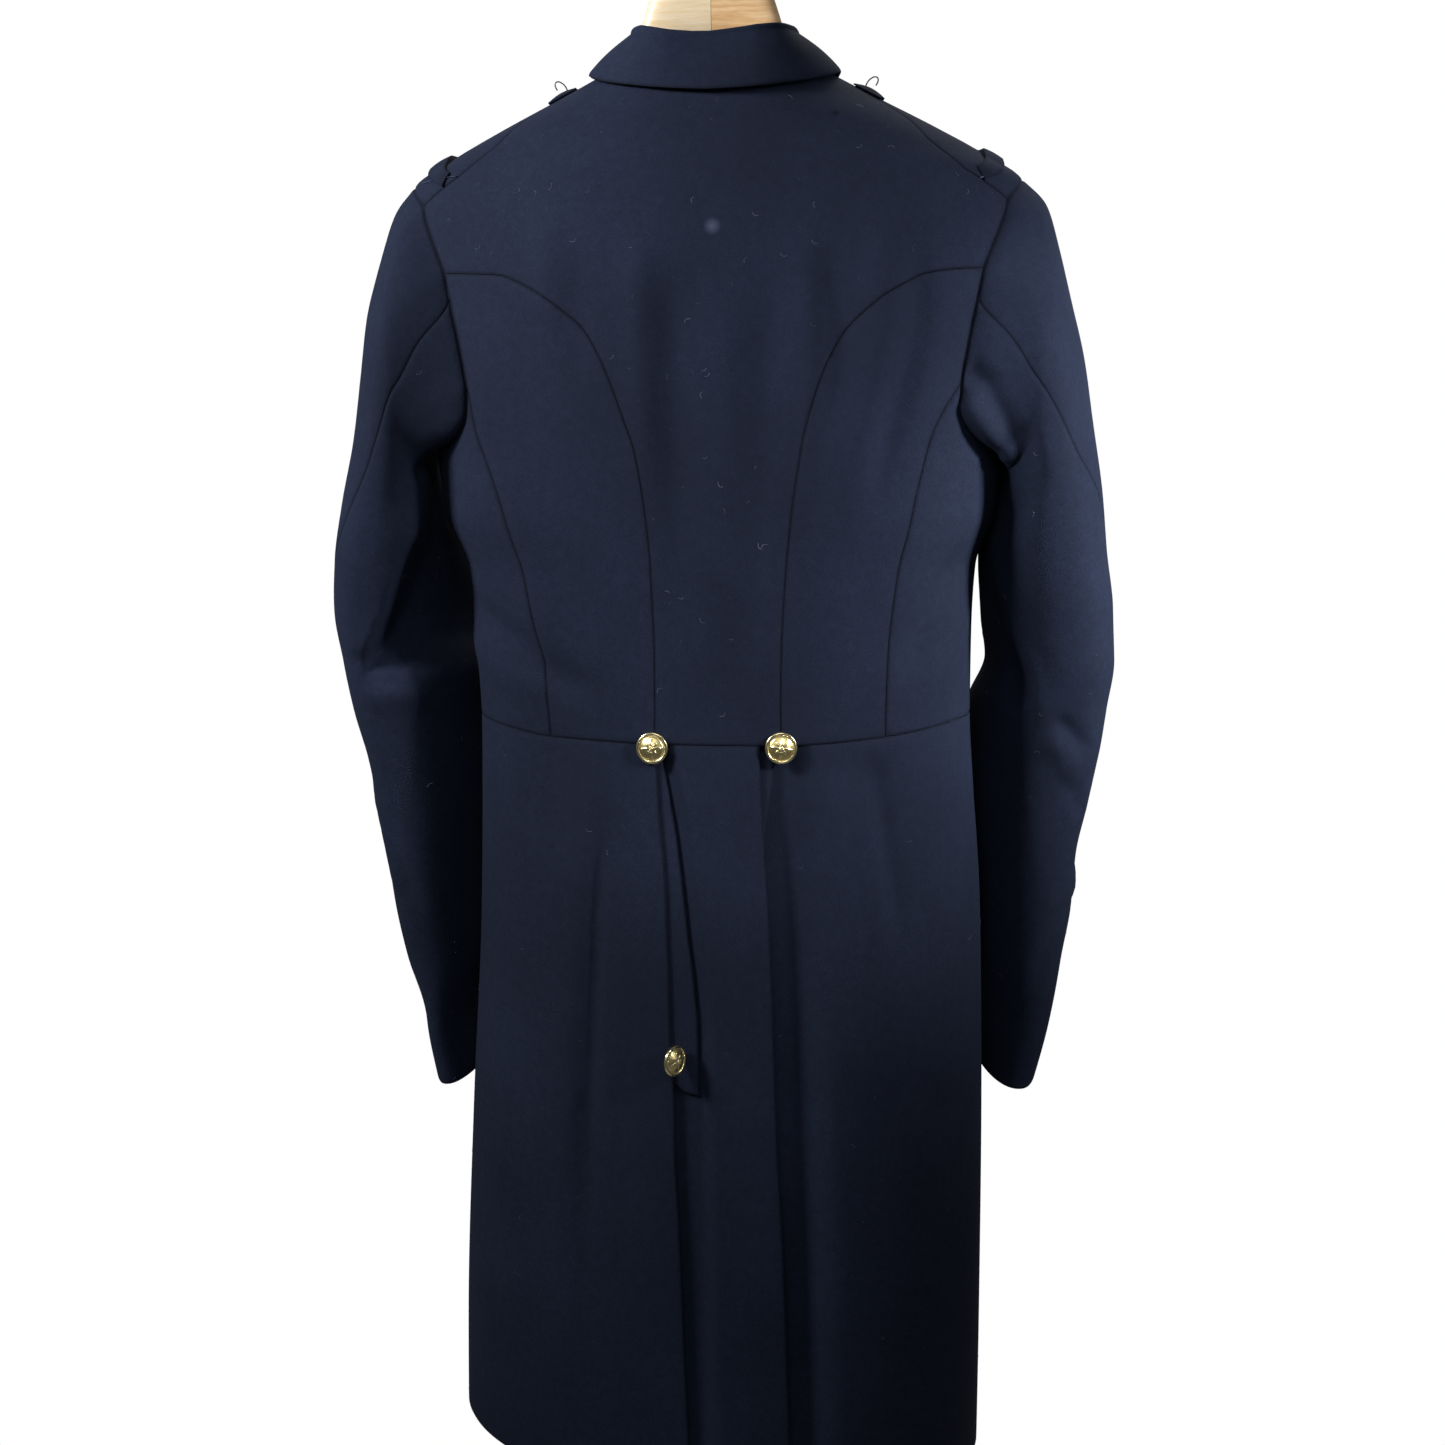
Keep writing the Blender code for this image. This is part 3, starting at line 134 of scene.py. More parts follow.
# Body of the coat: front, sides, back and skirts are cut to lie on one surface, so its rings from
# hem to neck come first: height at back, side and front, half width on the wearer's left and
# right, depth to the back and to the front, roundness of the superellipse.
HOOK_TOP = Vector((0.0, -0.030, 0.620))
CLOTH = 0.0020
SEAM_GAP = 0.00016
LAYER = 0.0032
RINGS = np.array([
    (-0.620, -0.620, -0.620, 0.2065, 0.1895, 0.1310, 0.1210, 2.30),
    (-0.460, -0.460, -0.460, 0.2030, 0.1920, 0.1280, 0.1180, 2.30),
    (-0.300, -0.300, -0.300, 0.1945, 0.1932, 0.1240, 0.1140, 2.30),
    (-0.150, -0.150, -0.150, 0.1845, 0.1915, 0.1170, 0.1080, 2.30),
    (-0.055, -0.055, -0.055, 0.1815, 0.1860, 0.1060, 0.1010, 2.30),
    (+0.000, +0.000, +0.000, 0.1805, 0.1835, 0.1010, 0.0980, 2.35),
    (+0.060, +0.060, +0.060, 0.1832, 0.1842, 0.1040, 0.1010, 2.40),
    (+0.110, +0.110, +0.110, 0.1865, 0.1872, 0.1090, 0.1060, 2.40),
    (+0.155, +0.152, +0.155, 0.2030, 0.2025, 0.1120, 0.1100, 2.40),
    (+0.210, +0.200, +0.210, 0.2080, 0.2080, 0.1145, 0.1120, 2.35),
    (+0.270, +0.262, +0.265, 0.2120, 0.2120, 0.1150, 0.1110, 2.30),
    (+0.330, +0.320, +0.318, 0.2200, 0.2200, 0.1110, 0.1030, 2.20),
    (+0.375, +0.362, +0.352, 0.2250, 0.2250, 0.1040, 0.0910, 2.10),
    (+0.403, +0.386, +0.376, 0.2200, 0.2200, 0.0970, 0.0800, 2.05),
    (+0.422, +0.4055, +0.393, 0.1920, 0.1920, 0.0900, 0.0710, 2.00),
    (+0.436, +0.426, +0.405, 0.1550, 0.1550, 0.0850, 0.0640, 2.00),
    (+0.447, +0.448, +0.415, 0.1120, 0.1120, 0.0800, 0.0580, 2.00),
    (+0.456, +0.468, +0.424, 0.0740, 0.0740, 0.0740, 0.0530, 2.10),
])
TOP = len(RINGS) - 1
MAP_WIDTH = 0.155  # metres of the flat map for each radian round the body
POINT_STEP = 0.0046


def smooth_rows(table, at):
    """Rows of a table at fractional row numbers, by a cubic that never overshoots."""
    at = np.clip(np.asarray(at, float), 0, len(table) - 1)
    row = np.clip(at.astype(int), 0, len(table) - 2)
    part = (at - row)[..., None]
    steps = np.diff(table, axis=0)
    before = steps[np.maximum(row - 1, 0)]
    here = steps[row]
    after = steps[np.minimum(row + 1, len(steps) - 1)]

    def slope(first, second):
        both = first * second
        total = np.where(first + second == 0, 1, first + second)
        return np.where(both > 0, 2 * both / total, 0)

    start = np.where((row == 0)[..., None], here, slope(before, here))
    end = np.where((row == len(table) - 2)[..., None], here, slope(here, after))
    curve = part * part * (3 - 2 * part)
    bend = start * part * (1 - part) ** 2 - end * part * part * (1 - part)
    return table[row] + here * curve + bend


def body(angle, level):
    """Point of the body surface at an angle in radians from centre back and a ring number."""
    row = smooth_rows(RINGS, level)
    back_z, side_z, front_z, left, right, back, front, power = np.moveaxis(row, -1, 0)
    across, along = np.sin(angle), np.cos(angle)
    width = np.where(across < 0, left, right)
    depth = np.where(along > 0, back, front)
    radius = (np.abs(across / width) ** power + np.abs(along / depth) ** power) ** (-1 / power)
    share = np.clip((radius * across / width) ** 2, 0, 1)
    height = side_z * share + np.where(along > 0, back_z, front_z) * (1 - share)
    return np.stack([radius * across, -radius * along, height], -1)


def unit(vectors):
    return vectors / np.maximum(np.linalg.norm(vectors, axis=-1, keepdims=True), 1e-12)


def body_normal(angle, level):
    step = 0.004
    turn = body(angle + step, level) - body(angle - step, level)
    low = np.clip(np.asarray(level) - step, 0, TOP)
    high = np.clip(np.asarray(level) + step, 0, TOP)
    return unit(np.cross(turn, body(angle, high) - body(angle, low)))


LEVELS = np.linspace(0, TOP, 1400)
MERIDIAN = np.mean([np.linalg.norm(np.diff(body(math.radians(a), np.arange(TOP + 1.0)), axis=0),
                                   axis=1) for a in (0, 60, 90)], axis=0)
CLOTH_UP = np.concatenate([[0], np.cumsum(MERIDIAN)])


def level_of(angle, height):
    if height is None:
        return float(TOP)
    return float(np.interp(height, body(angle, LEVELS)[:, 2], LEVELS))


def on_map(points, side=1):
    """Flat map points of (degrees, height) pairs, mirrored for side -1."""
    found = []
    for degrees, height in points:
        angle = side * math.radians(degrees)
        level = level_of(angle, height)
        found.append((angle * MAP_WIDTH, np.interp(level, range(TOP + 1), CLOTH_UP)))
    return np.array(found)


def from_map(points):
    return points[:, 0] / MAP_WIDTH, np.interp(points[:, 1], CLOTH_UP, range(TOP + 1))


def seam(points, step=0.004):
    """Evenly spaced points along a smooth curve through map points."""
    fine = smooth_rows(points, np.linspace(0, len(points) - 1, 40 * len(points)))
    length = np.concatenate([[0], np.cumsum(np.linalg.norm(np.diff(fine, axis=0), axis=1))])
    even = np.linspace(0, length[-1], max(1, round(length[-1] / step)) + 1)
    return np.stack([np.interp(even, length, fine[:, k]) for k in (0, 1)], 1)


def line_between(table, first, last):
    """The waist seam or hem from one signed angle to another."""
    angles = np.linspace(first, last, max(2, int(abs(last - first) / 1.3)))
    heights = np.interp(angles, [row[0] for row in table], [row[1] for row in table])
    return on_map(list(zip(angles, heights)))


def neck_line(first, last):
    return seam(on_map([(a, None) for a in np.linspace(first, last, 30)]))


def loop(*edges):
    """One closed outline from edges that run head to tail."""
    return np.concatenate([edge[:-1] for edge in edges])


def inside(points, outline):
    """Which points lie inside a closed outline."""
    x, y = points[:, 0:1], points[:, 1:2]
    x1, y1 = outline.T
    x2, y2 = np.roll(outline, -1, axis=0).T
    span = np.where(y2 == y1, 1e-12, y2 - y1)
    crosses = ((y1 > y) != (y2 > y)) & (x < (x2 - x1) * (y - y1) / span + x1)
    return crosses.sum(1) % 2 == 1


def line_distance(points, line, closed=False):
    """Distance of each point from a line of points, and how far along it the nearest place is."""
    ends = np.roll(line, -1, axis=0) if closed else line[1:]
    starts = line if closed else line[:-1]
    nearest = np.full(len(points), np.inf)
    along = np.zeros(len(points))
    for number, (start, end) in enumerate(zip(starts, ends)):
        side = end - start
        share = np.clip((points - start) @ side / max(side @ side, 1e-12), 0, 1)
        away = np.linalg.norm(points - start - share[:, None] * side, axis=1)
        closer = away < nearest
        nearest[closer] = away[closer]
        along[closer] = (number + share[closer]) / len(starts)
    return nearest, along


def ease(value):
    value = np.clip(value, 0, 1)
    return value * value * (3 - 2 * value)


def sunk(points, folds, place):
    """How far the folds sink each point. A fold is its half width and depth in mm (a ridge has a
    negative depth), the shares of its length over which it rises and dies, and its points."""
    total = np.zeros(len(points))
    for half_width, depth, rise, fall, path in folds:
        fine = smooth_rows(np.array(path, float), np.linspace(0, len(path) - 1, 6 * len(path)))
        line = place(fine)
        reach = 0.003 * half_width
        near = ((points > line.min(0) - reach) & (points < line.max(0) + reach)).all(1)
        away, along = line_distance(points[near], line)
        fade = ease(along / rise) * ease((1 - along) / fall)
        total[near] += 0.001 * depth * fade * np.exp(-(away / (0.001 * half_width)) ** 2)
    return total


def on_body(path):
    """Points of the body surface along (degrees, height) rows."""
    angle = np.radians(path[:, 0])
    level = np.array([level_of(a, z) for a, z in zip(angle, path[:, 1])])
    return body(angle, level)


# Folds of the hanging cloth, as (half width, depth, rise, fall, path). Skirts fall in flutes from
# the waist, the back in faint ridges from the shoulder blades, and the waist drags to the sides.
BODY_FOLDS = [
    (9, 7.0, 0.25, 0.45, [(-39.5, -0.020), (-40, -0.085), (-40, -0.150), (-40.5, -0.210),
                          (-41, -0.300), (-41, -0.380), (-40, -0.560)]),
    (24, 3.0, 0.40, 0.40, [(-34, -0.060), (-34, -0.210), (-34, -0.380), (-33, -0.560)]),
    (14, -1.2, 0.30, 0.40, [(-47, -0.030), (-48, -0.150), (-49, -0.300)]),
    (8, 1.2, 0.30, 0.50, [(-64, -0.030), (-60, -0.090), (-55, -0.145)]),
    (3, -1.0, 0.40, 0.50, [(-58, -0.045), (-58, -0.108)]),
    (14, -2.0, 0.30, 0.30, [(-78, -0.276), (-67, -0.327), (-61, -0.400), (-58, -0.500)]),
    (10, 5.0, 0.12, 0.45, [(53, -0.012), (54, -0.064), (54.5, -0.102), (55, -0.133),
                           (57, -0.200)]),
    (18, 2.0, 0.25, 0.40, [(58, -0.020), (60, -0.130), (62, -0.230)]),
    (15, -3.6, 0.20, 0.40, [(43.5, -0.020), (44.5, -0.085), (46.5, -0.156), (50, -0.260)]),
    (18, 4.0, 0.40, 0.40, [(52, -0.246), (64.5, -0.284), (78, -0.302)]),
    (20, -1.5, 0.30, 0.40, [(48, -0.300), (60, -0.340), (70, -0.360)]),
    (12, -3.1, 0.25, 0.35, [(-24, 0.360), (-23.5, 0.300), (-22, 0.230), (-21, 0.120)]),
    (13, 3.4, 0.25, 0.35, [(-11, 0.340), (-11, 0.260), (-10.5, 0.130), (-10, 0.060)]),
    (14, -3.2, 0.30, 0.30, [(6, 0.330), (6, 0.250), (5, 0.130), (5, 0.030)]),
    (12, 3.1, 0.30, 0.30, [(20, 0.340), (20.5, 0.250), (19, 0.130), (17, 0.040)]),
    (12, -3.4, 0.30, 0.30, [(31.5, 0.370), (32, 0.290), (30, 0.200), (28, 0.110)]),
    (10, 3.4, 0.30, 0.30, [(39, 0.350), (39.5, 0.280), (37, 0.200)]),
    (13, -5.4, 0.30, 0.35, [(53, 0.385), (51, 0.320), (48, 0.262), (44, 0.210), (41, 0.120)]),
    (12, 5.1, 0.30, 0.35, [(61, 0.375), (59, 0.315), (56, 0.265), (51, 0.200), (48, 0.130)]),
    (10, 1.5, 0.30, 0.30, [(-41, 0.345), (-40, 0.290), (-39, 0.245)]),
    (12, -1.7, 0.30, 0.30, [(-50, 0.380), (-49, 0.330), (-46, 0.280)]),
    (11, 4.0, 0.25, 0.35, [(-86, 0.100), (-74, 0.082), (-64, 0.066), (-56, 0.048), (-47, 0.034),
                           (-40, 0.026)]),
    (12, -2.0, 0.25, 0.35, [(-92, 0.070), (-78, 0.050), (-64, 0.034), (-56, 0.020)]),
    (11, 4.5, 0.25, 0.30, [(74, 0.135), (70.5, 0.108), (66.5, 0.085), (62.5, 0.060),
                           (57, 0.030)]),
    (12, -2.0, 0.25, 0.35, [(84, 0.090), (76, 0.060), (70, 0.035), (66, 0.010)]),
    (12, 3.2, 0.20, 0.40, [(104, -0.012), (106, -0.100), (108, -0.220), (109, -0.330)]),
    (13, 3.8, 0.25, 0.40, [(-122, -0.012), (-124, -0.120), (-127, -0.260), (-129, -0.400)]),
    (18, -2.4, 0.25, 0.40, [(-142, -0.020), (-145, -0.180), (-148, -0.340)]),
    (14, 3.6, 0.25, 0.40, [(126, -0.012), (129, -0.110), (132, -0.250), (134, -0.390)]),
    (10, 2.6, 0.25, 0.35, [(112, 0.105), (128, 0.070), (142, 0.040), (152, 0.026)]),
    (10, 2.8, 0.25, 0.35, [(-110, 0.110), (-126, 0.078), (-141, 0.046), (-150, 0.030)]),
    (12, -1.6, 0.30, 0.35, [(118, 0.230), (135, 0.190), (155, 0.150)]),
    (12, -1.6, 0.30, 0.35, [(-120, 0.240), (-136, 0.200), (-154, 0.165)]),
]
EDGE_ROLL = (0.0007, 0.0030)  # how far and over what width the cloth turns down at a seam
EDGE_ROWS = (0.0009, 0.0022, 0.0042)  # rows of points beside every seam, from it inwards


def turned_down(edge):
    """How far the cloth sinks towards a seam or hem, from its distance to it."""
    return EDGE_ROLL[0] * (1 - np.clip(edge / EDGE_ROLL[1], 0, 1)) ** 2


def cloth_mesh(name, points, normals, faces, flat, edge):
    """A cloth wall: the given outer face, an inner one CLOTH below, and the rim between them."""
    count = len(points)
    faces = [list(map(int, face)) for face in faces]
    sides = {(f[k], f[(k + 1) % len(f)]) for f in faces for k in range(len(f))}
    rim = [(a, b) for a, b in sides if (b, a) not in sides]
    both = np.concatenate([points, points - normals * CLOTH]) - np.array(HOOK_TOP)
    solid = faces + [[v + count for v in f[::-1]] for f in faces]
    solid += [[b, a, a + count, b + count] for a, b in sorted(rim)]
    mesh = bpy.data.meshes.new(name)
    mesh.from_pydata(both.tolist(), [], solid)
    corners = np.empty(len(mesh.loops), np.int32)
    mesh.loops.foreach_get("vertex_index", corners)
    layer = mesh.uv_layers.new(name="cloth")
    layer.data.foreach_set("uv", flat[corners % count].astype(np.float32).ravel())
    mark = mesh.attributes.new("edge", "FLOAT", "POINT")
    mark.data.foreach_set("value", np.tile(edge, 2).astype(np.float32))
    mesh.shade_smooth()
    mesh.set_sharp_from_angle(angle=math.radians(48))
    mesh.materials.append(wool)
    made = bpy.data.objects.new(name, mesh)
    bpy.context.scene.collection.objects.link(made)
    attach(made, "root")
    return made


def panel(name, outline, lift=None, step=POINT_STEP):
    """The part of the body surface inside an outline on the map, moved out by lift, with its
    folds."""
    area = np.cross(outline, np.roll(outline, -1, axis=0)).sum()
    outline = outline if area > 0 else outline[::-1]
    ahead = unit(np.roll(outline, -1, axis=0) - np.roll(outline, 1, axis=0))
    inward = np.stack([-ahead[:, 1], ahead[:, 0]], 1)
    rows = []
    for offset in EDGE_ROWS:
        row = outline + inward * offset
        row = row[inside(row, outline)]
        away, _ = line_distance(row, outline, True)
        rows.append(row[away > 0.93 * offset][::1 if offset < EDGE_ROWS[-1] else 2])
    low, high = outline.min(0), outline.max(0)
    lines = np.arange(low[1], high[1], step * 0.87)
    grid = [(x + (k % 2) * step / 2, y) for k, y in enumerate(lines)
            for x in np.arange(low[0], high[0], step)]
    grid = np.array(grid)
    grid = grid[inside(grid, outline)]
    away, _ = line_distance(grid, outline, True)
    flat = np.concatenate([outline] + rows + [grid[away > EDGE_ROWS[-1] + 0.4 * step]])
    found = delaunay_2d_cdt([Vector(p) for p in flat], [], [list(range(len(outline)))], 1, 1e-8)
    flat = np.array([tuple(p) for p in found[0]])
    faces = np.array([f for f in found[2] if len(f) == 3])
    angle, level = from_map(flat)
    points, normals = body(angle, level), body_normal(angle, level)
    edge, _ = line_distance(flat, outline, True)
    raised = -sunk(points, BODY_FOLDS, on_body) - turned_down(edge)
    if lift is not None:
        raised = raised + lift(angle, level)
    points = points + normals * raised[:, None]
    corner = points[faces]
    facing = np.cross(corner[:, 1] - corner[:, 0], corner[:, 2] - corner[:, 0])
    if (facing * normals[faces[:, 0]]).sum() < 0:
        faces = faces[:, ::-1]
    points = inset(points, normals, faces)
    made = cloth_mesh(name + "_cloth", points, normals, faces, flat, edge)
    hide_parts(name)
    return made


def inset(points, normals, faces):
    """Moves the open edge of a mesh inwards by the seam gap."""
    sides = np.concatenate([faces[:, [0, 1]], faces[:, [1, 2]], faces[:, [2, 0]]])
    pairs = set(map(tuple, sides.tolist()))
    after = {a: b for a, b in pairs if (b, a) not in pairs}
    before = {b: a for a, b in after.items()}
    moved = points.copy()
    for here, ahead in after.items():
        behind = before[here]
        turns = [np.cross(normals[here], unit(points[ahead] - points[here])),
                 np.cross(normals[here], unit(points[here] - points[behind]))]
        inward = unit(turns[0] + turns[1])
        moved[here] += inward * SEAM_GAP / max(0.45, float(np.dot(inward, turns[0])))
    return moved


# Back: one piece from waist to neck without a centre seam, between the two curved side seams
# that run from the armholes to the waist buttons. Seams are (degrees from centre back, height).
SIDE_BODY_SEAM = {
    "left": [(72.2, 0.3258), (66.0, 0.3255), (59.7, 0.3246), (55.5, 0.3200), (50.2, 0.3116),
             (44.4, 0.2999), (39.4, 0.2882), (35.6, 0.2730), (32.3, 0.2545), (28.2, 0.2265),
             (24.6, 0.2000), (22.6, 0.1650), (21.5, 0.1200), (21.8, 0.0750), (23.3, -0.0065)],
    "right": [(72.2, 0.3258), (66.0, 0.3253), (60.4, 0.3228), (57.5, 0.3185), (52.0, 0.3105),
              (46.6, 0.2980), (42.0, 0.2850), (38.4, 0.2695), (34.7, 0.2490), (32.1, 0.2285),
              (29.3, 0.1960), (27.0, 0.1505), (25.7, 0.0975), (25.4, 0.0500), (25.7, -0.0080)],
}
ARMHOLE_BACK = [(79.0, 0.3735), (75.7, 0.3500), (72.2, 0.3258)]
SHOULDER_SEAM = [(79.0, 0.3735), (75.0, 0.3860), (72.0, 0.3980), (72.0, 0.4140), (77.0, 0.4310),
                 (81.0, 0.4480), (82.0, None)]
WAIST_LINE = [(-225, -0.0080), (-180, -0.0080), (-140, -0.0030), (-100, 0.0020), (-78, 0.0018),
              (-70, 0.0000), (-58, -0.0042), (-44, -0.0056), (-30, -0.0070), (0, -0.0080),
              (30, -0.0086), (44, -0.0074), (56, -0.0050), (66, -0.0020), (75, 0.0008),
              (100, 0.0020), (140, -0.0030), (180, -0.0080), (225, -0.0080)]
SIDES = (("left", -1), ("right", 1))
side_seams = {name: seam(on_map(SIDE_BODY_SEAM[name], side)) for name, side in SIDES}
shoulders = {name: seam(on_map(SHOULDER_SEAM, side)) for name, side in SIDES}
back = panel("back", loop(
    line_between(WAIST_LINE, -23.3, 25.7), side_seams["right"][::-1],
    seam(on_map(ARMHOLE_BACK))[::-1], shoulders["right"], neck_line(82, -82),
    shoulders["left"][::-1], seam(on_map(ARMHOLE_BACK, -1)), side_seams["left"]))


def wear_and_shade_spot(place, radius, colour, amount):
    """A spot of colour round a point on the back, used for a mark of wear and for the painted
    shade of a pinhole.
    """
    tree = wool.node_tree
    shader = tree.nodes["Principled BSDF"]
    under = shader.inputs["Base Color"].links[0].from_socket
    spot = on_body(np.array([place]))[0] - np.array(HOOK_TOP)
    here = add(tree, "ShaderNodeTexCoord").outputs["Object"]
    away = add(tree, "ShaderNodeVectorMath", {0: here, 1: tuple(spot)}, operation="DISTANCE")
    share = add(tree, "ShaderNodeMapRange", {"Value": away.outputs["Value"], "From Min": 0.0,
                                             "From Max": radius, "To Min": amount, "To Max": 0.0})
    mixed = add(tree, "ShaderNodeMix", data_type="RGBA")
    tree.links.new(share.outputs["Result"], mixed.inputs[0])
    tree.links.new(under, mixed.inputs[6])
    mixed.inputs[7].default_value = linear(colour)
    tree.links.new(mixed.outputs[2], shader.inputs["Base Color"])


wear_and_shade_spot((2.0, 0.3569), 0.0065, "6d7590", 0.35)  # rubbed pale between the shoulders
# Painted shade: the pinhole is no hole in the mesh, only a near-black spot for the shade inside it.
wear_and_shade_spot((51.5, 0.4331), 0.0032, "05060a", 0.95)  # a pinhole below the right shoulder

# Side bodies: a curved strip on each side between the back and the forepart, from the armhole to
# the waist seam. It shapes the waist, so both of its seams are pressed open and lie flat.
UNDERARM_SEAM = {
    "left": [(67.3, 0.2450), (65.6, 0.2140), (62.4, 0.1844), (60.4, 0.1597), (59.4, 0.1389),
             (58.3, 0.1087), (57.7, 0.0850), (56.3, 0.0515), (55.4, -0.0045)],
    "right": [(67.3, 0.2450), (63.6, 0.2271), (61.2, 0.2110), (59.5, 0.1900), (58.2, 0.1690),
              (57.1, 0.1395), (56.2, 0.1050), (55.7, 0.0590), (56.0, -0.0050)],
}
ARMHOLE_SIDE = [(72.2, 0.3258), (70.6, 0.3020), (68.9, 0.2770), (67.3, 0.2450)]
arm_seams = {name: seam(on_map(UNDERARM_SEAM[name], side)) for name, side in SIDES}
for name, side in SIDES:
    low_side, low_arm = SIDE_BODY_SEAM[name][-1][0] * side, UNDERARM_SEAM[name][-1][0] * side
    panel("side_body_" + name, loop(
        line_between(WAIST_LINE, low_side, low_arm), arm_seams[name][::-1],
        seam(on_map(ARMHOLE_SIDE, side))[::-1], side_seams[name]))

# Foreparts: the fronts, from the seam under the arm round to the buttoned edges, and over the
# shoulder to a seam behind its ridge. The left front laps over the right one.
ARMHOLE_FRONT = [(67.3, 0.2450), (67.8, 0.2270), (70.5, 0.2120), (76.0, 0.2035), (84.0, 0.1990),
                 (92.0, 0.1980), (100.0, 0.2010), (107.5, 0.2120), (113.0, 0.2350),
                 (115.0, 0.2650), (113.5, 0.3000), (109.0, 0.3350), (102.0, 0.3640),
                 (95.0, 0.3800), (89.0, 0.3865), (83.5, 0.3810), (79.0, 0.3735)]
ROLL_LINE = [(222.0, 0.2650), (205.0, 0.3050), (188.0, 0.3440), (170.0, 0.3780), (152.0, 0.4060),
             (138.0, 0.4280), (130.0, None)]
FRONT_EDGE = [(222.0, 0.2650), (220.0, 0.2000), (219.0, 0.1000), (219.0, -0.0080)]


def front_lift(side):
    """The left front lies over the right one where the two overlap."""
    def lift(angle, level):
        share = ease((np.abs(angle) - math.radians(112)) / math.radians(28))
        return (0.5 * LAYER if side < 0 else -0.5 * LAYER) * share
    return lift


for name, side in SIDES:
    low_arm = UNDERARM_SEAM[name][-1][0] * side
    panel("forepart_" + name, loop(
        line_between(WAIST_LINE, low_arm, 219.0 * side), seam(on_map(FRONT_EDGE, side))[::-1],
        seam(on_map(ROLL_LINE, side)), neck_line(130.0 * side, 82.0 * side),
        shoulders[name][::-1], seam(on_map(ARMHOLE_FRONT, side))[::-1], arm_seams[name]),
        front_lift(side))

# Lapels: the turned-back tops of the fronts, pressed to a roll line, with a pointed peak below
# the collar. The left one shows from the top button up, the right one from the left roll line up.
LAPEL_EDGE = {
    "left": [(222.0, 0.2650), (207.0, 0.2700), (190.0, 0.2950), (168.0, 0.3330),
             (146.0, 0.3620), (131.0, 0.3800), (122.5, 0.3920)],
    "right": [(177.0, 0.3560), (162.0, 0.3480), (146.0, 0.3620), (131.0, 0.3800),
              (122.5, 0.3920)],
}
LAPEL_TOP = [(122.5, 0.3920), (130.0, 0.4020), (138.0, 0.4090), (146.0, 0.4140)]
LAPEL_ROLL = {
    "left": [(222.0, 0.2650), (205.0, 0.3050), (188.0, 0.3440), (170.0, 0.3780),
             (152.0, 0.4060), (146.0, 0.4140)],
    "right": [(177.0, 0.3560), (170.0, 0.3780), (152.0, 0.4060), (146.0, 0.4140)],
}


def lapel_lift(side):
    base = front_lift(side)

    def lift(angle, level):
        return base(angle, level) + 0.95 * LAYER
    return lift


for name, side, cut in (("left", -1, (0.055, 0.34)), ("right", 1, (0.050, 0.18))):
    panel("lapel_" + name, loop(
        seam(on_map(LAPEL_EDGE[name], side)), seam(on_map(LAPEL_TOP, side)),
        seam(on_map(LAPEL_ROLL[name], side))[::-1]), lapel_lift(side), step=0.0040)

# Skirts: two full pieces from the waist seam to the knee, a centre panel that is set under the
# left skirt, and a deep pleat on the right where the other skirt goes under the panel.
HEM_LINE = [(-225, -0.5740), (-180, -0.5700), (-140, -0.5560), (-110, -0.5420), (-90, -0.5380),
            (-76, -0.5410), (-64, -0.5480), (-45, -0.5600), (-20, -0.5690), (0, -0.5720),
            (45, -0.5730), (90, -0.5715), (180, -0.5740), (225, -0.5740)]
SKIRT_FRONT_EDGE = [(219.0, -0.0080), (216.3, -0.1500), (214.7, -0.3000), (213.0, -0.4600),
                    (211.4, -0.5740)]
SKIRT_LEFT_BACK = [(-23.3, -0.0075), (-19.8, -0.0738), (-17.6, -0.1129), (-16.2, -0.1655),
                   (-15.4, -0.2204), (-14.1, -0.2669), (-13.9, -0.3041), (-12.6, -0.3626),
                   (-11.1, -0.4638), (-10.1, -0.5254), (-9.6, -0.5705)]
SKIRT_RIGHT_BACK = [(3.0, -0.0082), (3.0, -0.2000), (4.0, -0.4000), (5.0, -0.5720)]
PANEL_RIGHT_EDGE = [(18.0, -0.0084), (17.9, -0.0401), (18.3, -0.0856), (18.8, -0.1313),
                    (19.1, -0.1768), (19.4, -0.2487), (19.8, -0.3036), (20.7, -0.3591),
                    (21.4, -0.4289), (22.0, -0.5227), (22.3, -0.5722)]
PANEL_LEFT_EDGE = [(-36.0, -0.0066), (-32.0, -0.1500), (-29.0, -0.3000), (-26.0, -0.4600),
                   (-24.0, -0.5680)]


def pleat_depth(level):
    """How far the right pleat sinks, from the waist seam down."""
    height = np.interp(level, range(TOP + 1), RINGS[:, 0])
    return 2.1 * LAYER + 0.0050 * ease((-0.010 - height) / 0.110)


def right_skirt_lift(angle, level):
    share = 1 - ease((angle - math.radians(24.5)) / math.radians(13.0))
    return front_lift(1)(angle, level) - pleat_depth(level) * share


def centre_lift(angle, level):
    """The centre panel sinks below the left skirt and its flap."""
    height = np.interp(level, range(TOP + 1), RINGS[:, 0])
    shore = np.interp(-height, [0.012, 0.060, 0.130, 0.210], [-22.0, -15.5, -10.0, -6.0])
    return -1.95 * LAYER * (1 - ease((np.degrees(angle) - shore) / 6.0))


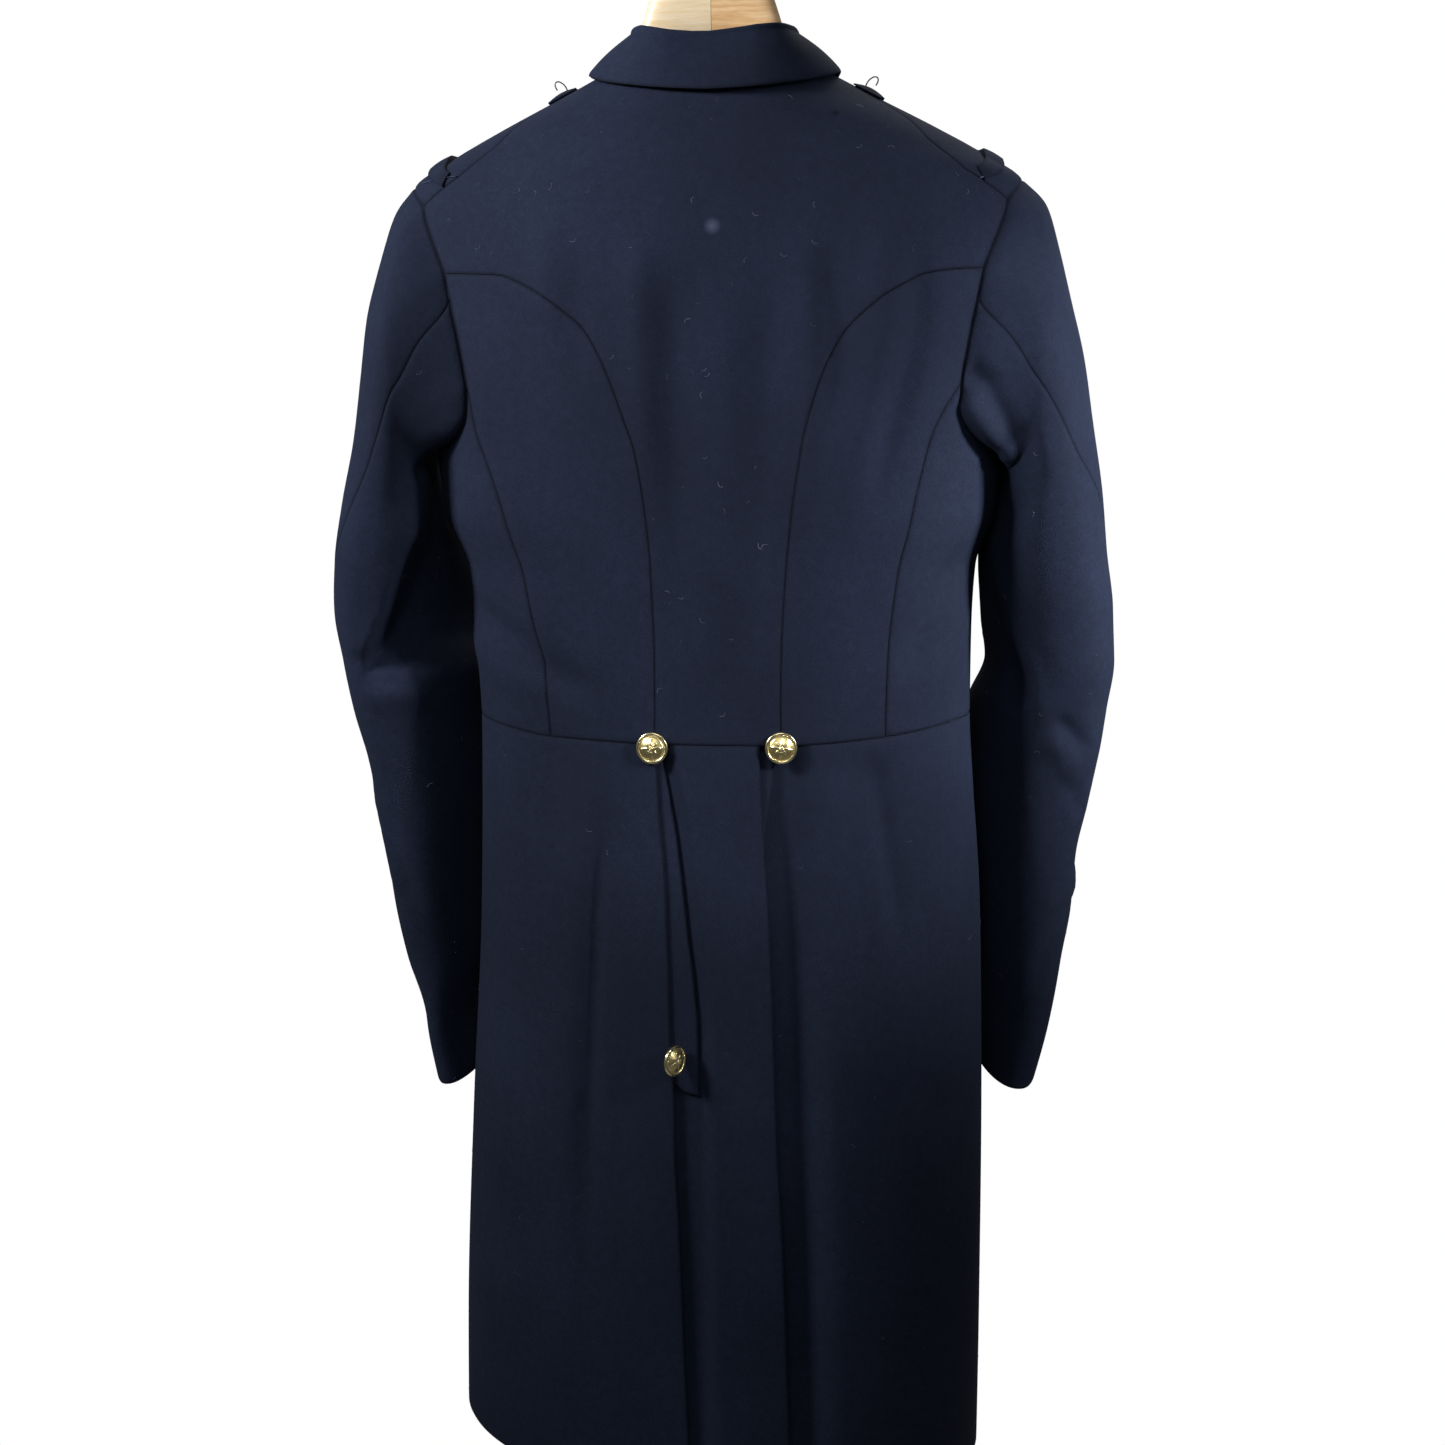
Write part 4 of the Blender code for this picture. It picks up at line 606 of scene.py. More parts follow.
skirt_left = panel("skirt_left", loop(
    line_between(WAIST_LINE, -219.0, -23.3), seam(on_map(SKIRT_LEFT_BACK)),
    line_between(HEM_LINE, -9.6, -211.4), seam(on_map(SKIRT_FRONT_EDGE, -1))[::-1]),
    front_lift(-1), step=1.1 * POINT_STEP)
skirt_right = panel("skirt_right", loop(
    line_between(WAIST_LINE, 3.0, 219.0), seam(on_map(SKIRT_FRONT_EDGE)),
    line_between(HEM_LINE, 211.4, 5.0), seam(on_map(SKIRT_RIGHT_BACK))[::-1]),
    right_skirt_lift, step=1.1 * POINT_STEP)
panel("skirt_centre", loop(
    line_between(WAIST_LINE, -36.0, 18.0), seam(on_map(PANEL_RIGHT_EDGE)),
    line_between(HEM_LINE, 22.3, -24.0), seam(on_map(PANEL_LEFT_EDGE))[::-1]),
    centre_lift)

# Side edges: tapered flaps sewn into the pleats under the waist buttons. The left one shows, with
# a wavy foot and a button of its own, and the right one has slipped into its pleat.
FLAP_LEFT = [(-21.3, -0.0120), (-16.1, -0.0580), (-12.6, -0.0985), (-10.5, -0.1313),
             (-8.4, -0.1638), (-7.2, -0.1880), (-6.4, -0.2141), (-6.2, -0.2613)]
FLAP_LEFT_FOOT = [(-6.2, -0.2613), (-8.6, -0.2605), (-11.0, -0.2590), (-14.2, -0.2540),
                  (-18.5, -0.2560), (-22.0, -0.2540)]
FLAP_LEFT_BACK = [(-22.0, -0.2540), (-25.5, -0.1600), (-29.0, -0.0800), (-31.0, -0.0120)]
FLAP_RIGHT = [(23.4, -0.0120), (22.6, -0.0300), (20.2, -0.0580), (17.0, -0.1000),
              (14.0, -0.2200), (13.5, -0.2560)]
FLAP_RIGHT_BACK = [(7.5, -0.2560), (8.0, -0.1000), (9.0, -0.0120)]


def flap_lift(angle, level):
    return np.full(np.shape(angle), -0.97 * LAYER)


panel("side_flap_left", loop(
    seam(on_map(FLAP_LEFT)), seam(on_map(FLAP_LEFT_FOOT)), seam(on_map(FLAP_LEFT_BACK)),
    seam(on_map([FLAP_LEFT_BACK[-1], FLAP_LEFT[0]]))), flap_lift, step=0.0035)
panel("side_flap_right", loop(
    seam(on_map(FLAP_RIGHT)), seam(on_map([FLAP_RIGHT[-1], FLAP_RIGHT_BACK[0]])),
    seam(on_map(FLAP_RIGHT_BACK)), seam(on_map([FLAP_RIGHT_BACK[-1], FLAP_RIGHT[0]]))),
    flap_lift, step=0.0035)

# Sleeves: an upper and an under piece each, set into the armhole and bent at the elbow. The table
# runs from armhole to cuff: outer point x z, inner point x z, middle y, half depth, roundness,
# how far the section leans outwards at its back, and the back and front seams in degrees.
SLEEVE = {
    "left": np.array([
        (0.2225, 0.3865, 0.2080, 0.1980, -0.002, 0.073, 2.2, 0.000, 82, -108),
        (0.2345, 0.3690, 0.2130, 0.1925, -0.003, 0.077, 2.2, 0.000, 91, -112),
        (0.2425, 0.3380, 0.2140, 0.1850, -0.004, 0.079, 2.2, 0.000, 99, -116),
        (0.2520, 0.3010, 0.2130, 0.1760, -0.003, 0.080, 2.2, 0.002, 96, -120),
        (0.2565, 0.2620, 0.2100, 0.1640, -0.001, 0.080, 2.2, 0.005, 89, -124),
        (0.2614, 0.2150, 0.2061, 0.1470, +0.002, 0.079, 2.2, 0.010, 79, -128),
        (0.2713, 0.1650, 0.1978, 0.1240, +0.006, 0.077, 2.2, 0.015, 61, -132),
        (0.2792, 0.1200, 0.1914, 0.0970, +0.011, 0.074, 2.2, 0.018, 40, -136),
        (0.2818, 0.0780, 0.1879, 0.0660, +0.018, 0.071, 2.2, 0.020, 18, -140),
        (0.2792, 0.0400, 0.1840, 0.0340, +0.025, 0.070, 2.2, 0.018, 2, -144),
        (0.2741, 0.0030, 0.1817, 0.0010, +0.032, 0.069, 2.2, 0.018, -9, -147),
        (0.2653, -0.0340, 0.1807, -0.0340, +0.038, 0.068, 2.2, 0.018, -16, -149),
        (0.2592, -0.0710, 0.1806, -0.0705, +0.043, 0.067, 2.2, 0.018, -21, -150),
        (0.2533, -0.1100, 0.1827, -0.1095, +0.047, 0.066, 2.2, 0.018, -23, -150),
        (0.2485, -0.1500, 0.1825, -0.1495, +0.050, 0.065, 2.2, 0.018, -24, -150),
        (0.2399, -0.1930, 0.1803, -0.1925, +0.052, 0.063, 2.2, 0.018, -25, -150),
        (0.2230, -0.2350, 0.1885, -0.2340, +0.053, 0.062, 2.2, 0.018, -25, -150),
        (0.2210, -0.2790, 0.1865, -0.2770, +0.054, 0.060, 2.2, 0.012, -25, -150),
    ]),
    "right": np.array([
        (0.2225, 0.3865, 0.2080, 0.1980, -0.002, 0.073, 2.2, 0.000, 83, -108),
        (0.2380, 0.3690, 0.2130, 0.1925, -0.003, 0.077, 2.2, 0.000, 91, -112),
        (0.2462, 0.3380, 0.2140, 0.1850, -0.004, 0.079, 2.2, 0.000, 97, -116),
        (0.2547, 0.3010, 0.2130, 0.1760, -0.003, 0.080, 2.2, 0.002, 90, -120),
        (0.2635, 0.2620, 0.2095, 0.1640, -0.001, 0.080, 2.2, 0.004, 80, -124),
        (0.2701, 0.2150, 0.2050, 0.1470, +0.002, 0.079, 2.2, 0.006, 64, -128),
        (0.2772, 0.1650, 0.1968, 0.1240, +0.006, 0.077, 2.2, 0.008, 37, -132),
        (0.2812, 0.1200, 0.1952, 0.0970, +0.011, 0.074, 2.2, 0.009, 20, -136),
        (0.2863, 0.0780, 0.1951, 0.0660, +0.018, 0.071, 2.2, 0.010, 5, -140),
        (0.2869, 0.0400, 0.1980, 0.0340, +0.025, 0.070, 2.2, 0.013, -6, -144),
        (0.2802, 0.0030, 0.1872, 0.0010, +0.032, 0.069, 2.2, 0.018, -13, -147),
        (0.2727, -0.0340, 0.1808, -0.0340, +0.038, 0.068, 2.2, 0.022, -18, -149),
        (0.2652, -0.0710, 0.1780, -0.0705, +0.043, 0.067, 2.2, 0.022, -22, -150),
        (0.2563, -0.1100, 0.1785, -0.1095, +0.047, 0.066, 2.2, 0.022, -23, -150),
        (0.2530, -0.1500, 0.1797, -0.1495, +0.050, 0.065, 2.2, 0.022, -24, -150),
        (0.2446, -0.1930, 0.1826, -0.1925, +0.052, 0.063, 2.2, 0.022, -25, -150),
        (0.2380, -0.2350, 0.1890, -0.2340, +0.053, 0.062, 2.2, 0.018, -25, -150),
        (0.2295, -0.2790, 0.1875, -0.2770, +0.054, 0.060, 2.2, 0.012, -25, -150),
    ]),
}
CUFF_STATION = 17
CUFF_DROP = 0.012
ARMHOLE_GAP = 0.0003
ARMHOLE_STAND = 0.0008  # how far the sleeve head stands above the body cloth
TUCK = (0.0035, 0.0036)  # how far the sleeve's edge runs in under the body cloth, along and down
# Folds of each sleeve, in stations and degrees: (half width, depth, rise, fall, path).
SLEEVE_FOLDS = {
    "right": [
        (8, 4.5, 0.10, 0.45, [(0.02, 113), (0.40, 113), (0.75, 114), (1.10, 119), (1.45, 123),
                              (2.05, 129), (3.60, 122), (4.90, 109), (5.60, 98)]),
        (12, -6.5, 0.10, 0.35, [(0.20, 120), (0.65, 124), (1.00, 129), (1.30, 136), (1.70, 143),
                                (2.40, 148), (3.20, 150), (4.60, 149), (5.40, 156)]),
        (18, -7.0, 0.20, 0.35, [(1.60, 160), (2.40, 168), (3.20, 175), (4.20, 179),
                                (5.60, 183), (7.50, 188), (9.60, 190)]),
        (16, -7.0, 0.30, 0.30, [(1.20, 186), (2.00, 190), (3.00, 194)]),
        (12, -4.5, 0.25, 0.40, [(1.50, 136), (2.20, 137), (3.20, 139), (4.40, 141), (5.60, 148)]),
        (9, -3.5, 0.20, 0.40, [(5.40, 150), (6.20, 156), (7.45, 141), (8.40, 131),
                               (9.65, 116), (10.40, 100)]),
        (13, 3.5, 0.30, 0.35, [(6.20, 174), (7.45, 160), (8.40, 150), (9.65, 136),
                               (10.40, 120)]),
        (7, 3.0, 0.25, 0.40, [(9.90, 100), (10.20, 91), (10.40, 81), (10.75, 66), (10.95, 56)]),
        (9, -2.6, 0.30, 0.40, [(10.30, 104), (10.70, 92), (11.10, 80), (11.50, 66)]),
        (6, 2.0, 0.30, 0.40, [(11.30, 84), (11.80, 66), (12.30, 48)]),
        (5, -2.0, 0.30, 0.35, [(13.10, 14), (13.45, 30), (13.80, 46), (14.10, 52)]),
        (6, 2.2, 0.25, 0.40, [(13.70, 36), (14.00, 52), (14.20, 70), (14.60, 92)]),
        (8, 1.6, 0.30, 0.40, [(14.35, 66), (14.90, 82), (15.60, 96)]),
        (9, -3.0, 0.30, 0.35, [(7.2, -50), (7.6, -80), (8.2, -110), (8.8, -130)]),
        (8, 3.5, 0.30, 0.35, [(8.0, -45), (8.5, -75), (9.1, -105), (9.6, -125)]),
        (9, 3.0, 0.30, 0.40, [(2.2, -70), (3.6, -80), (5.2, -88)]),
    ],
    "left": [
        (16, -5.0, 0.30, 0.35, [(2.20, 150), (3.15, 152), (4.40, 146), (5.60, 131),
                                (6.60, 116)]),
        (7, 3.0, 0.20, 0.40, [(8.60, 62), (8.95, 80), (9.15, 98), (9.05, 116)]),
        (10, -1.2, 0.30, 0.40, [(9.20, 58), (9.60, 84), (9.60, 110), (9.20, 136)]),
        (6, -2.2, 0.25, 0.30, [(11.30, 40), (12.00, 45), (12.60, 51), (13.45, 61), (13.80, 70)]),
        (7, 2.0, 0.30, 0.35, [(11.80, 62), (12.60, 70), (13.60, 84), (14.20, 100)]),
        (9, -3.0, 0.30, 0.35, [(7.4, -50), (7.8, -80), (8.3, -110), (8.7, -130)]),
        (8, 3.4, 0.30, 0.35, [(8.2, -45), (8.6, -75), (9.2, -105), (9.8, -125)]),
        (9, 2.6, 0.30, 0.40, [(2.0, -70), (3.4, -80), (5.0, -90)]),
    ],
}
# Hollow behind the left elbow, where the forearm hangs forward: station, depth in mm and the
# edge, in degrees, past which the cloth drops away.
ELBOW_HOLLOW = np.array([
    (3.4, 0, 190), (4.5, 12, 160), (5.3, 26, 142), (6.05, 35, 124), (7.05, 37, 108),
    (7.75, 36, 98), (8.3, 30, 86), (8.7, 16, 74), (9.1, 4, 66), (9.5, 0, 62),
])


def oval(outer, inner, middle_y, depth, power, turn):
    """Points round a section; turn runs from its outer point to the back."""
    middle = (outer + inner) / 2
    reach = (outer - inner) / 2
    along, across = np.cos(turn), np.sin(turn)
    radius = (np.abs(along) ** power + np.abs(across) ** power) ** (-1 / power)
    points = np.empty(np.broadcast(middle[..., 0], turn).shape + (3,))
    points[..., 0] = middle[..., 0] + reach[..., 0] * along * radius
    points[..., 1] = middle_y - depth * across * radius
    points[..., 2] = middle[..., 1] + reach[..., 1] * along * radius
    return points


def armhole_ring():
    """The armhole seam as turn angles, points and the way its edge tucks in under the body."""
    rim = loop(seam(on_map(ARMHOLE_FRONT)), seam(on_map(ARMHOLE_BACK)), seam(on_map(ARMHOLE_SIDE)))
    angle, level = from_map(rim)
    points, normals = body(angle, level), body_normal(angle, level)
    along = unit(np.roll(points, -1, axis=0) - np.roll(points, 1, axis=0))
    into = np.cross(normals, along)
    middle = points.mean(0)
    into = into * np.sign((into * (middle - points)).sum(1))[:, None]
    points = points + into * ARMHOLE_GAP + normals * ARMHOLE_STAND
    first = SLEEVE["right"][0]
    reach = (first[0:2] - first[2:4]) / 2
    along_share = (points[:, [0, 2]] - (first[0:2] + first[2:4]) / 2) @ reach / (reach @ reach)
    turn = np.arctan2(-(points[:, 1] - first[4]) / first[5], along_share)
    order = np.argsort(turn)
    return turn[order], points[order], (-into * TUCK[0] - normals * TUCK[1])[order]


RIM_TURN, RIM_POINTS, RIM_TUCK = armhole_ring()


def at_turn(values, turn):
    """Values of the armhole ring at turn angles."""
    wrapped = (turn + math.pi) % (2 * math.pi) - math.pi
    return np.stack([np.interp(wrapped, RIM_TURN, values[:, k], period=2 * math.pi)
                     for k in range(3)], -1)


def sleeve_surface(name, station, turn):
    """Sleeve points, made on the right: the armhole seam blends into the ovals of the table."""
    row = smooth_rows(SLEEVE[name], station)
    points = oval(row[..., 0:2], row[..., 2:4], row[..., 4], row[..., 5], row[..., 6], turn)
    behind = (row[..., 4] - points[..., 1]) / row[..., 5]
    points[..., 0] += row[..., 7] * behind
    points[..., 2] -= CUFF_DROP * ease((station - CUFF_STATION + 2) / 2) * behind
    span = 2.2 + 1.3 * np.clip(-np.cos(turn), 0, 1)
    share = ease(station / span)[..., None]
    wide = row[..., 0:2].shape
    start = SLEEVE[name][0]
    first = oval(np.broadcast_to(start[0:2], wide), np.broadcast_to(start[2:4], wide),
                 start[4], start[5], start[6], turn)
    return points + (at_turn(RIM_POINTS, turn) - first) * (1 - share)


def sleeve_normal(name, station, turn):
    step = 0.01
    high = np.clip(station + step, 0, CUFF_STATION)
    low = np.clip(station - step, 0, CUFF_STATION)
    down = sleeve_surface(name, high, turn) - sleeve_surface(name, low, turn)
    round_it = sleeve_surface(name, station, turn + step) - sleeve_surface(name, station, turn - step)
    return unit(np.cross(round_it, down))


def elbow_hollow(station, turn):
    """How far the cloth behind the left elbow drops forwards at each point."""
    past = np.degrees(np.where(turn < -math.pi / 2, turn + 2 * math.pi, turn))
    depth = np.interp(station, ELBOW_HOLLOW[:, 0], ELBOW_HOLLOW[:, 1], 0, 0)
    edge = np.interp(station, ELBOW_HOLLOW[:, 0], ELBOW_HOLLOW[:, 2])
    return 0.001 * depth * ease((past - edge) / 14) * ease((214 - past) / 24)


def grid_faces(rows, columns, wrap=False):
    wide = columns if wrap else columns - 1
    return np.array([(r * columns + c, r * columns + (c + 1) % columns,
                      (r + 1) * columns + (c + 1) % columns, (r + 1) * columns + c)
                     for r in range(rows - 1) for c in range(wide)])


def uneven(count, fine):
    """Shares from 0 to 1 that crowd towards both ends, for a neat turned edge."""
    even = np.linspace(0, 1, count)
    return np.concatenate([[0, fine / 3, fine], fine + (1 - 2 * fine) * even[1:-1],
                           [1 - fine, 1 - fine / 3, 1]])


def sleeve_piece(piece, name, side, upper, columns, rows):
    station = (CUFF_STATION * uneven(rows, 0.004))[:, None]
    row = smooth_rows(SLEEVE[name], station[:, 0])
    first, last = np.radians(row[:, 8:9]), np.radians(row[:, 9:10])
    last = last if upper else last + 2 * math.pi
    turn = first + (last - first) * uneven(columns, 0.012)[None, :]
    station = np.broadcast_to(station, turn.shape)
    points, normals = sleeve_surface(name, station, turn), sleeve_normal(name, station, turn)
    across = np.linalg.norm(np.diff(points, axis=1), axis=2)
    across = np.concatenate([np.zeros((len(across), 1)), np.cumsum(across, axis=1)], axis=1)
    down = np.linalg.norm(np.diff(points, axis=0), axis=2)
    down = np.concatenate([np.zeros((1, down.shape[1])), np.cumsum(down, axis=0)], axis=0)
    edge = np.minimum(np.minimum(across, across[:, -1:] - across),
                      np.minimum(down, down[-1:] - down)).ravel()
    flat = np.stack([across, down.mean(1, keepdims=True) + 0 * across], -1)
    sink = sunk(points.reshape(-1, 3), SLEEVE_FOLDS[name], lambda path: sleeve_surface(
        name, path[:, 0], np.radians(path[:, 1]))) + turned_down(edge)
    points = points - normals * sink.reshape(turn.shape + (1,))
    if side < 0:
        points[..., 1] += elbow_hollow(station, turn)
    tuck = points[:1] + at_turn(RIM_TUCK, turn[:1])
    points, normals = np.concatenate([tuck, points]), np.concatenate([normals[:1], normals])
    flat, edge = np.concatenate([flat[:1], flat]), np.concatenate([edge[:turn.shape[1]], edge])
    faces = grid_faces(*points.shape[:2])
    points, normals = points.reshape(-1, 3), normals.reshape(-1, 3)
    if upper:
        faces = faces[:, ::-1]
    if side < 0:
        points, normals, faces = points * (-1, 1, 1), normals * (-1, 1, 1), faces[:, ::-1]
    made = cloth_mesh(piece + "_cloth", points, normals, faces, flat.reshape(-1, 2), edge)
    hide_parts(piece)


fineness = 1.0
for name, side in SIDES:
    sleeve_piece("upper_sleeve_" + name, name, side, True, int(48 * fineness), int(150 * fineness))
    sleeve_piece("under_sleeve_" + name, name, side, False, int(70 * fineness),
                 int(150 * fineness))

# Collar: one folded piece whose stand rises from the neck seam and whose leaf turns down over it
# to a clean edge, softly rolled. Rows hold angle, fold line x y z, level and lift of the edge.
COLLAR = np.array([
    (0, 0.0000, -0.0600, 0.4905, 16.02, 0.0065),
    (20, 0.0275, -0.0585, 0.4922, 16.10, 0.0065),
    (40, 0.0490, -0.0460, 0.4945, 16.28, 0.0060),
    (65, 0.0565, -0.0200, 0.4945, 16.48, 0.0058),
    (90, 0.0580, 0.0030, 0.4925, 16.62, 0.0052),
    (110, 0.0550, 0.0230, 0.4840, 16.55, 0.0042),
    (130, 0.0490, 0.0390, 0.4680, 16.15, 0.0046),
    (139, 0.0455, 0.0450, 0.4600, 16.00, 0.0050),
])
COLLAR_WAVE = [(-60, 0.0), (-40, 0.0006), (-20, -0.0012), (-8, -0.0016), (8, -0.0004),
               (24, 0.0010), (45, 0.0006), (60, 0.0)]
FOLD_INSIDE, FOLD_OUTSIDE = 0.0025, 0.0027  # from the fold line to the stand and to the leaf
FOLD_RISE = 0.0040
FOLD_DROP = 0.0028
LEAF_BULGE = 0.0022


def collar_points(degrees):
    """The collar's section at an angle: up the stand, over the fold, down the leaf."""
    row = smooth_rows(COLLAR, np.interp(abs(degrees), COLLAR[:, 0], range(len(COLLAR))))
    angle = math.radians(abs(degrees))
    base = body(angle, TOP) + np.array((0, 0, 0.0007))
    fold = row[1:4] + np.array((0, 0, np.interp(degrees, *zip(*COLLAR_WAVE))))
    foot = body(angle, row[4]) + body_normal(angle, row[4]) * row[5]
    out = unit((foot - fold) * np.array((1, 1, 0)))
    inner, outer = fold - out * FOLD_INSIDE, fold + out * FOLD_OUTSIDE
    low = np.array((0, 0, -FOLD_DROP))
    stand = [base + (inner + low - base) * s for s in np.linspace(0, 1, 9)[:-1]]
    arc = np.linspace(math.pi, 0, 11)
    roll = [(inner + outer) / 2 + (outer - inner) / 2 * math.cos(t)
            + np.array((0, 0, FOLD_RISE * math.sin(t) - FOLD_DROP)) for t in arc]
    bulge = unit(body_normal(angle, row[4]) + np.array((0, 0, 0.4))) * LEAF_BULGE
    leaf = [outer + low + (foot - outer - low) * s + bulge * 4 * s * (1 - s)
            for s in np.concatenate([np.linspace(0, 0.94, 18)[1:], [0.97, 0.99, 1.0]])]
    points = np.array(stand + roll + leaf)
    points[:, 0] *= math.copysign(1, degrees)
    return points


angles = np.linspace(-139, 139, 180)
sections = np.array([collar_points(a) for a in angles])
slopes = unit(np.cross(np.gradient(sections, axis=1), np.gradient(sections, axis=0)))
up_collar = np.cumsum(np.linalg.norm(np.diff(sections, axis=1, prepend=sections[:, :1]), axis=2), 1)
round_collar = np.cumsum(np.linalg.norm(np.diff(sections[:, 20], axis=0, prepend=sections[:1, 20]),
                                        axis=1))
edge = np.minimum(up_collar[:, -1:] - up_collar,
                  np.minimum(round_collar, round_collar[-1] - round_collar)[:, None]).ravel()
flat = np.stack([round_collar[:, None] + 0 * up_collar, up_collar], -1).reshape(-1, 2)
slopes = slopes.reshape(-1, 3)
collar = cloth_mesh("collar_cloth", sections.reshape(-1, 3) - slopes * turned_down(edge)[:, None],
                    slopes, grid_faces(*sections.shape[:2]), flat, edge)
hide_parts("collar")

# Gilt buttons: a stamped brass shell, gilded, domed inside a smooth rim with a fine rope ring
# between them. The shell bears an eight-pointed star with a boss, and the wear dulls its hollows.
BUTTON_WIDTH = 0.0232
BUTTON_HEIGHT = 0.0062
ROPE_STRANDS = 40


def gilt_brass():
    material, tree, shader = new_material("gilt brass, stamped")
    place = add(tree, "ShaderNodeTexCoord").outputs["Object"]
    relief = add(tree, "ShaderNodeAttribute", attribute_name="relief")
    dirt = add(tree, "ShaderNodeTexNoise", {"Vector": place, "Scale": 900.0, "Detail": 3.0})
    amount = add(tree, "ShaderNodeMath", {0: dirt.outputs["Fac"], 1: 0.5,
                                          2: relief.outputs["Fac"]}, operation="MULTIPLY_ADD")
    tint = add(tree, "ShaderNodeValToRGB", {"Fac": amount.outputs[0]})
    tint.color_ramp.elements[0].position = 0.22
    tint.color_ramp.elements[0].color = linear("6d5f35")
    tint.color_ramp.elements[1].position = 0.80
    tint.color_ramp.elements[1].color = linear("efe2b0")
    tint.color_ramp.elements.new(0.48).color = linear("cdb97a")
    rough = add(tree, "ShaderNodeMapRange", {"Value": amount.outputs[0], "From Min": 0.2,
                                             "From Max": 0.9, "To Min": 0.46, "To Max": 0.24})
    fine = add(tree, "ShaderNodeBump", {"Height": dirt.outputs["Fac"], "Strength": 0.2,
                                        "Distance": 0.0001})
    tree.links.new(tint.outputs["Color"], shader.inputs["Base Color"])
    tree.links.new(rough.outputs["Result"], shader.inputs["Roughness"])
    tree.links.new(fine.outputs["Normal"], shader.inputs["Normal"])
    shader.inputs["Metallic"].default_value = 1.0
    return material


gilt = gilt_brass()


def button_shell(around, rings):
    """Points, faces and relief of the shell on +Z, its flat back at z = 0."""
    r, h = BUTTON_WIDTH / 2, BUTTON_HEIGHT
    rim = [(0.0, 0.0), (0.84, 0.0), (0.95, 0.06), (0.99, 0.18), (1.0, 0.30), (0.985, 0.42),
           (0.94, 0.50), (0.88, 0.52), (0.83, 0.49), (0.795, 0.43), (0.775, 0.41), (0.755, 0.41)]
    dome = [(0.735 * (1 - s), 0.43 + 0.47 * math.sin(s * math.pi / 2) ** 0.9)
            for s in np.linspace(0, 1, rings)]
    profile = np.array(rim[1:] + dome[:-1])
    turn = np.linspace(0, 2 * math.pi, around, endpoint=False)
    turns = np.broadcast_to(turn, (len(profile), around))
    radius = np.broadcast_to(profile[:, :1], turns.shape)
    height = np.broadcast_to(profile[:, 1:], turns.shape)
    wedge = np.abs((turns * 8 / (2 * math.pi) + 0.5) % 1 - 0.5) * 2
    long_ray = np.cos(turns * 4) > 0
    reach = np.where(long_ray, 0.60, 0.42)
    star = ease((reach * (1 - wedge) ** 0.8 + 0.10 - radius) / 0.05)
    star *= 0.55 + 0.45 * (1 - wedge)
    boss = ease((0.17 - radius) / 0.05)
    moat = ease((0.24 - radius) / 0.04) * (1 - boss)
    beads = ease((0.035 - np.abs(radius - 0.665)) / 0.02) * (0.5 + 0.5 * np.cos(turns * 32))
    raised = (0.075 * star * (1 - moat) + 0.11 * boss + 0.05 * beads) * (radius < 0.74)
    points = np.stack([radius * r * np.cos(turns), radius * r * np.sin(turns),
                       (height + raised) * h], -1).reshape(-1, 3)
    rows = len(profile)
    relief = np.clip(0.30 + 4.5 * raised + 0.35 * (radius > 0.80), 0, 1).ravel()
    faces = [tuple(f) for f in grid_faces(rows, around, True)]
    points = np.concatenate([points, [(0, 0, 0), (0, 0, 1.01 * h)]])
    relief = np.concatenate([relief, [0.3, 0.8]])
    base, tip, last = rows * around, rows * around + 1, (rows - 1) * around
    faces += [((c + 1) % around, c, base) for c in range(around)]
    faces += [(last + c, last + (c + 1) % around, tip) for c in range(around)]
    return points, faces, relief


def input_of(tree, name):
    """The identifier of a tree's named input."""
    return next(i.identifier for i in tree.interface.items_tree
                if i.item_type == "SOCKET" and i.in_out == "INPUT" and i.name == name)


def node_group(name, sizes):
    """An empty Geometry Nodes tree with named inputs: (tree, group input)."""
    tree = bpy.data.node_groups.new(name, "GeometryNodeTree")
    tree.interface.new_socket("Geometry", in_out="INPUT", socket_type="NodeSocketGeometry")
    tree.interface.new_socket("Geometry", in_out="OUTPUT", socket_type="NodeSocketGeometry")
    for label, kind in sizes:
        tree.interface.new_socket(label, in_out="INPUT", socket_type=kind)
    return tree, add(tree, "NodeGroupInput").outputs


def grown(name, source, tree, values):
    """The plain mesh that a tree makes of a source mesh."""
    holder = bpy.data.objects.new(name, source)
    bpy.context.scene.collection.objects.link(holder)
    modifier = holder.modifiers.new("grow", "NODES")
    modifier.node_group = tree
    for label, value in values.items():
        modifier[input_of(tree, label)] = value
    bpy.context.view_layer.update()
    seen = holder.evaluated_get(bpy.context.evaluated_depsgraph_get())
    mesh = bpy.data.meshes.new_from_object(seen)
    bpy.data.objects.remove(holder)
    mesh.name = name
    return mesh


